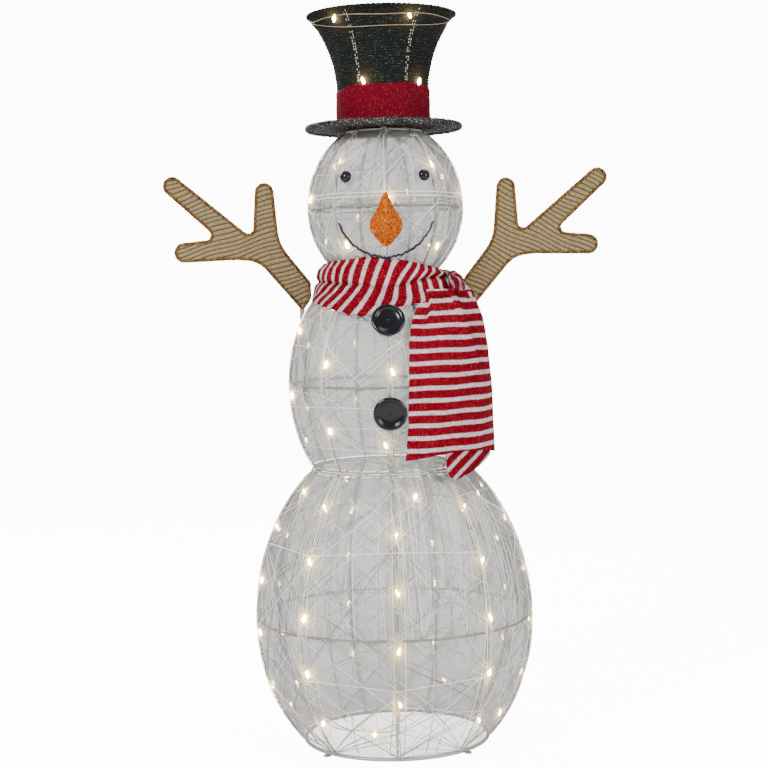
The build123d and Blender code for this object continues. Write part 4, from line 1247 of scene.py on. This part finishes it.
def scarf_under_end():
    """The other end of the strip, which hangs behind the tail and shows below its right corner."""
    rows, columns = 200, 120
    down = np.linspace(0, 1, rows)[:, None]
    share = np.linspace(0, 1, columns)[None]
    foot = np.interp(share, [0, 0.04, 0.12, 0.2, 0.6, 1.0], [0.594, 0.575, 0.566, 0.568, 0.588, 0.606])
    z = 0.750 - (0.750 - foot) * down
    turn = np.radians(31.5 + 45.5 * share) + FRONT
    radius = 0.2158 - 0.0004 * np.sin(9 * share) - 0.0035 * soft_step((0.66 - z) / 0.08) + 0 * share
    grid = around(radius, turn, z)
    arc = share * 0.171
    steep = 0.80 - 0.30 * share
    uv = np.stack([(z - steep * arc) * 0.80 + 0.02, arc + 0.6 * z], -1)
    return cloth_piece("scarf_under_end", grid, uv, [], flip=True, thickness=0.0018, shade=0.10)


def scarf_knot():
    """The place where the strip is pulled round itself at the viewer's right."""
    centre = around(0.1700, FRONT + math.radians(56), 0.9600).reshape(3)
    rows, columns = 150, 220
    u = np.linspace(-1, 1, rows)[:, None]
    v = np.linspace(0, 2 * math.pi, columns, endpoint=False)[None]
    out = np.array([centre[0], centre[1], 0]) / math.hypot(centre[0], centre[1])
    side = np.array([-out[1], out[0], 0])
    pinch = np.sqrt(np.clip(1 - np.abs(u) ** 2.4, 0.02, 1))
    ridges = 1 + 0.13 * np.sin(6 * v + 2.6 * u) + 0.07 * np.sin(11 * v - 3 * u)
    a = np.cos(v) * 0.0125 * pinch * ridges
    b = np.sin(v) * 0.0200 * pinch * ridges
    c = u * 0.0300 + 0.003 * np.sin(2 * v)
    tilt = 0.75
    height = b * math.cos(tilt) - c * math.sin(tilt)
    along = b * math.sin(tilt) + c * math.cos(tilt)
    grid = centre + a[..., None] * out + along[..., None] * side + height[..., None] * np.array([0, 0, 1.0])
    uv = np.stack([v * 0.019 + 0.007 * np.sin(3 * u) + 0 * u, u * 0.05 + 0 * v], -1)
    faces = grid_faces(rows, columns, wrap_columns=True)
    points, hollow_shade = knit(grid.reshape(-1, 3), uv.reshape(-1, 2), faces)
    # Painted shade: darker in the grooves between the wrap's ridges, and the whole wrap a little darker.
    low = np.clip(1.04 - ridges + 0 * u, 0, 0.2).ravel() * 4
    return mesh_object("scarf_knot_wrap", points, faces, SCARF, "middle_section", ["scarf_knot"],
                       uv=uv.reshape(-1, 2),
                       values={"hollow_shade": np.clip(hollow_shade + low + 0.12, 0, 1)})


neck_loop = scarf_loop()
hanging_tail = scarf_tail()
under_end = scarf_under_end()
knot_wrap = scarf_knot()

# Stage
floor_finish = mottled("studio_floor", (0.86, 0.86, 0.855), (0.90, 0.90, 0.895), 0.9, 1.5, 0.02)
from_camera = floor_finish.node("ShaderNodeLightPath").outputs["Is Camera Ray"]
floor_finish.set("Emission Color", (1, 1, 1, 1))
floor_finish.set("Emission Strength", floor_finish.math("MULTIPLY", from_camera, 12.0))
floor_mesh = bpy.data.meshes.new("floor")
reach = 9.0
corners = [(-reach, -reach, 0), (reach, -reach, 0), (reach, reach, 0), (-reach, reach, 0)]
floor_mesh.from_pydata(corners, [], [(0, 1, 2, 3)])
floor_mesh.materials.append(floor_finish.material)
floor = bpy.data.objects.new("floor", floor_mesh)
bpy.context.scene.collection.objects.link(floor)

world = bpy.data.worlds.new("studio")
bpy.context.scene.world = world
world.use_nodes = True
sky = world.node_tree
soft = sky.nodes["Background"]
soft.inputs["Color"].default_value = (0.97, 0.985, 1.0, 1)
soft.inputs["Strength"].default_value = 0.42
backdrop = sky.nodes.new("ShaderNodeBackground")
backdrop.inputs["Color"].default_value = (1, 1, 1, 1)
backdrop.inputs["Strength"].default_value = 12.0
seen = sky.nodes.new("ShaderNodeLightPath")
choice = sky.nodes.new("ShaderNodeMixShader")
sky.links.new(seen.outputs["Is Camera Ray"], choice.inputs[0])
sky.links.new(soft.outputs[0], choice.inputs[1])
sky.links.new(backdrop.outputs[0], choice.inputs[2])
sky.links.new(choice.outputs[0], sky.nodes["World Output"].inputs["Surface"])


def area_light(name, place, aim, size, power):
    data = bpy.data.lights.new(name, "AREA")
    data.size, data.energy = size, power
    light = bpy.data.objects.new(name, data)
    light.location = place
    light.rotation_euler = (Vector(aim) - Vector(place)).to_track_quat("-Z", "Y").to_euler()
    bpy.context.scene.collection.objects.link(light)


area_light("key", (-2.4, -3.2, 3.0), (0, 0, 0.8), 1.4, 210)
area_light("fill", (3.0, -2.8, 1.8), (0, 0, 0.7), 1.8, 120)
area_light("back", (-1.5, 3.0, 3.0), (0, 0, 0.8), 2.0, 130)
area_light("top", (0.6, 0.2, 4.4), (0, 0, 0.8), 2.0, 90)

camera_data = bpy.data.cameras.new("camera")
camera_data.lens = CAMERA_LENS
camera_data.sensor_width = 36.0
camera = bpy.data.objects.new("camera", camera_data)
camera.location = CAMERA_AT
look = (Vector(CAMERA_AIM) - Vector(CAMERA_AT)).to_track_quat("-Z", "Y")
camera.rotation_euler = (look.to_matrix() @ Matrix.Rotation(-CAMERA_ROLL, 3, "Z")).to_euler()
bpy.context.scene.collection.objects.link(camera)
bpy.context.scene.camera = camera
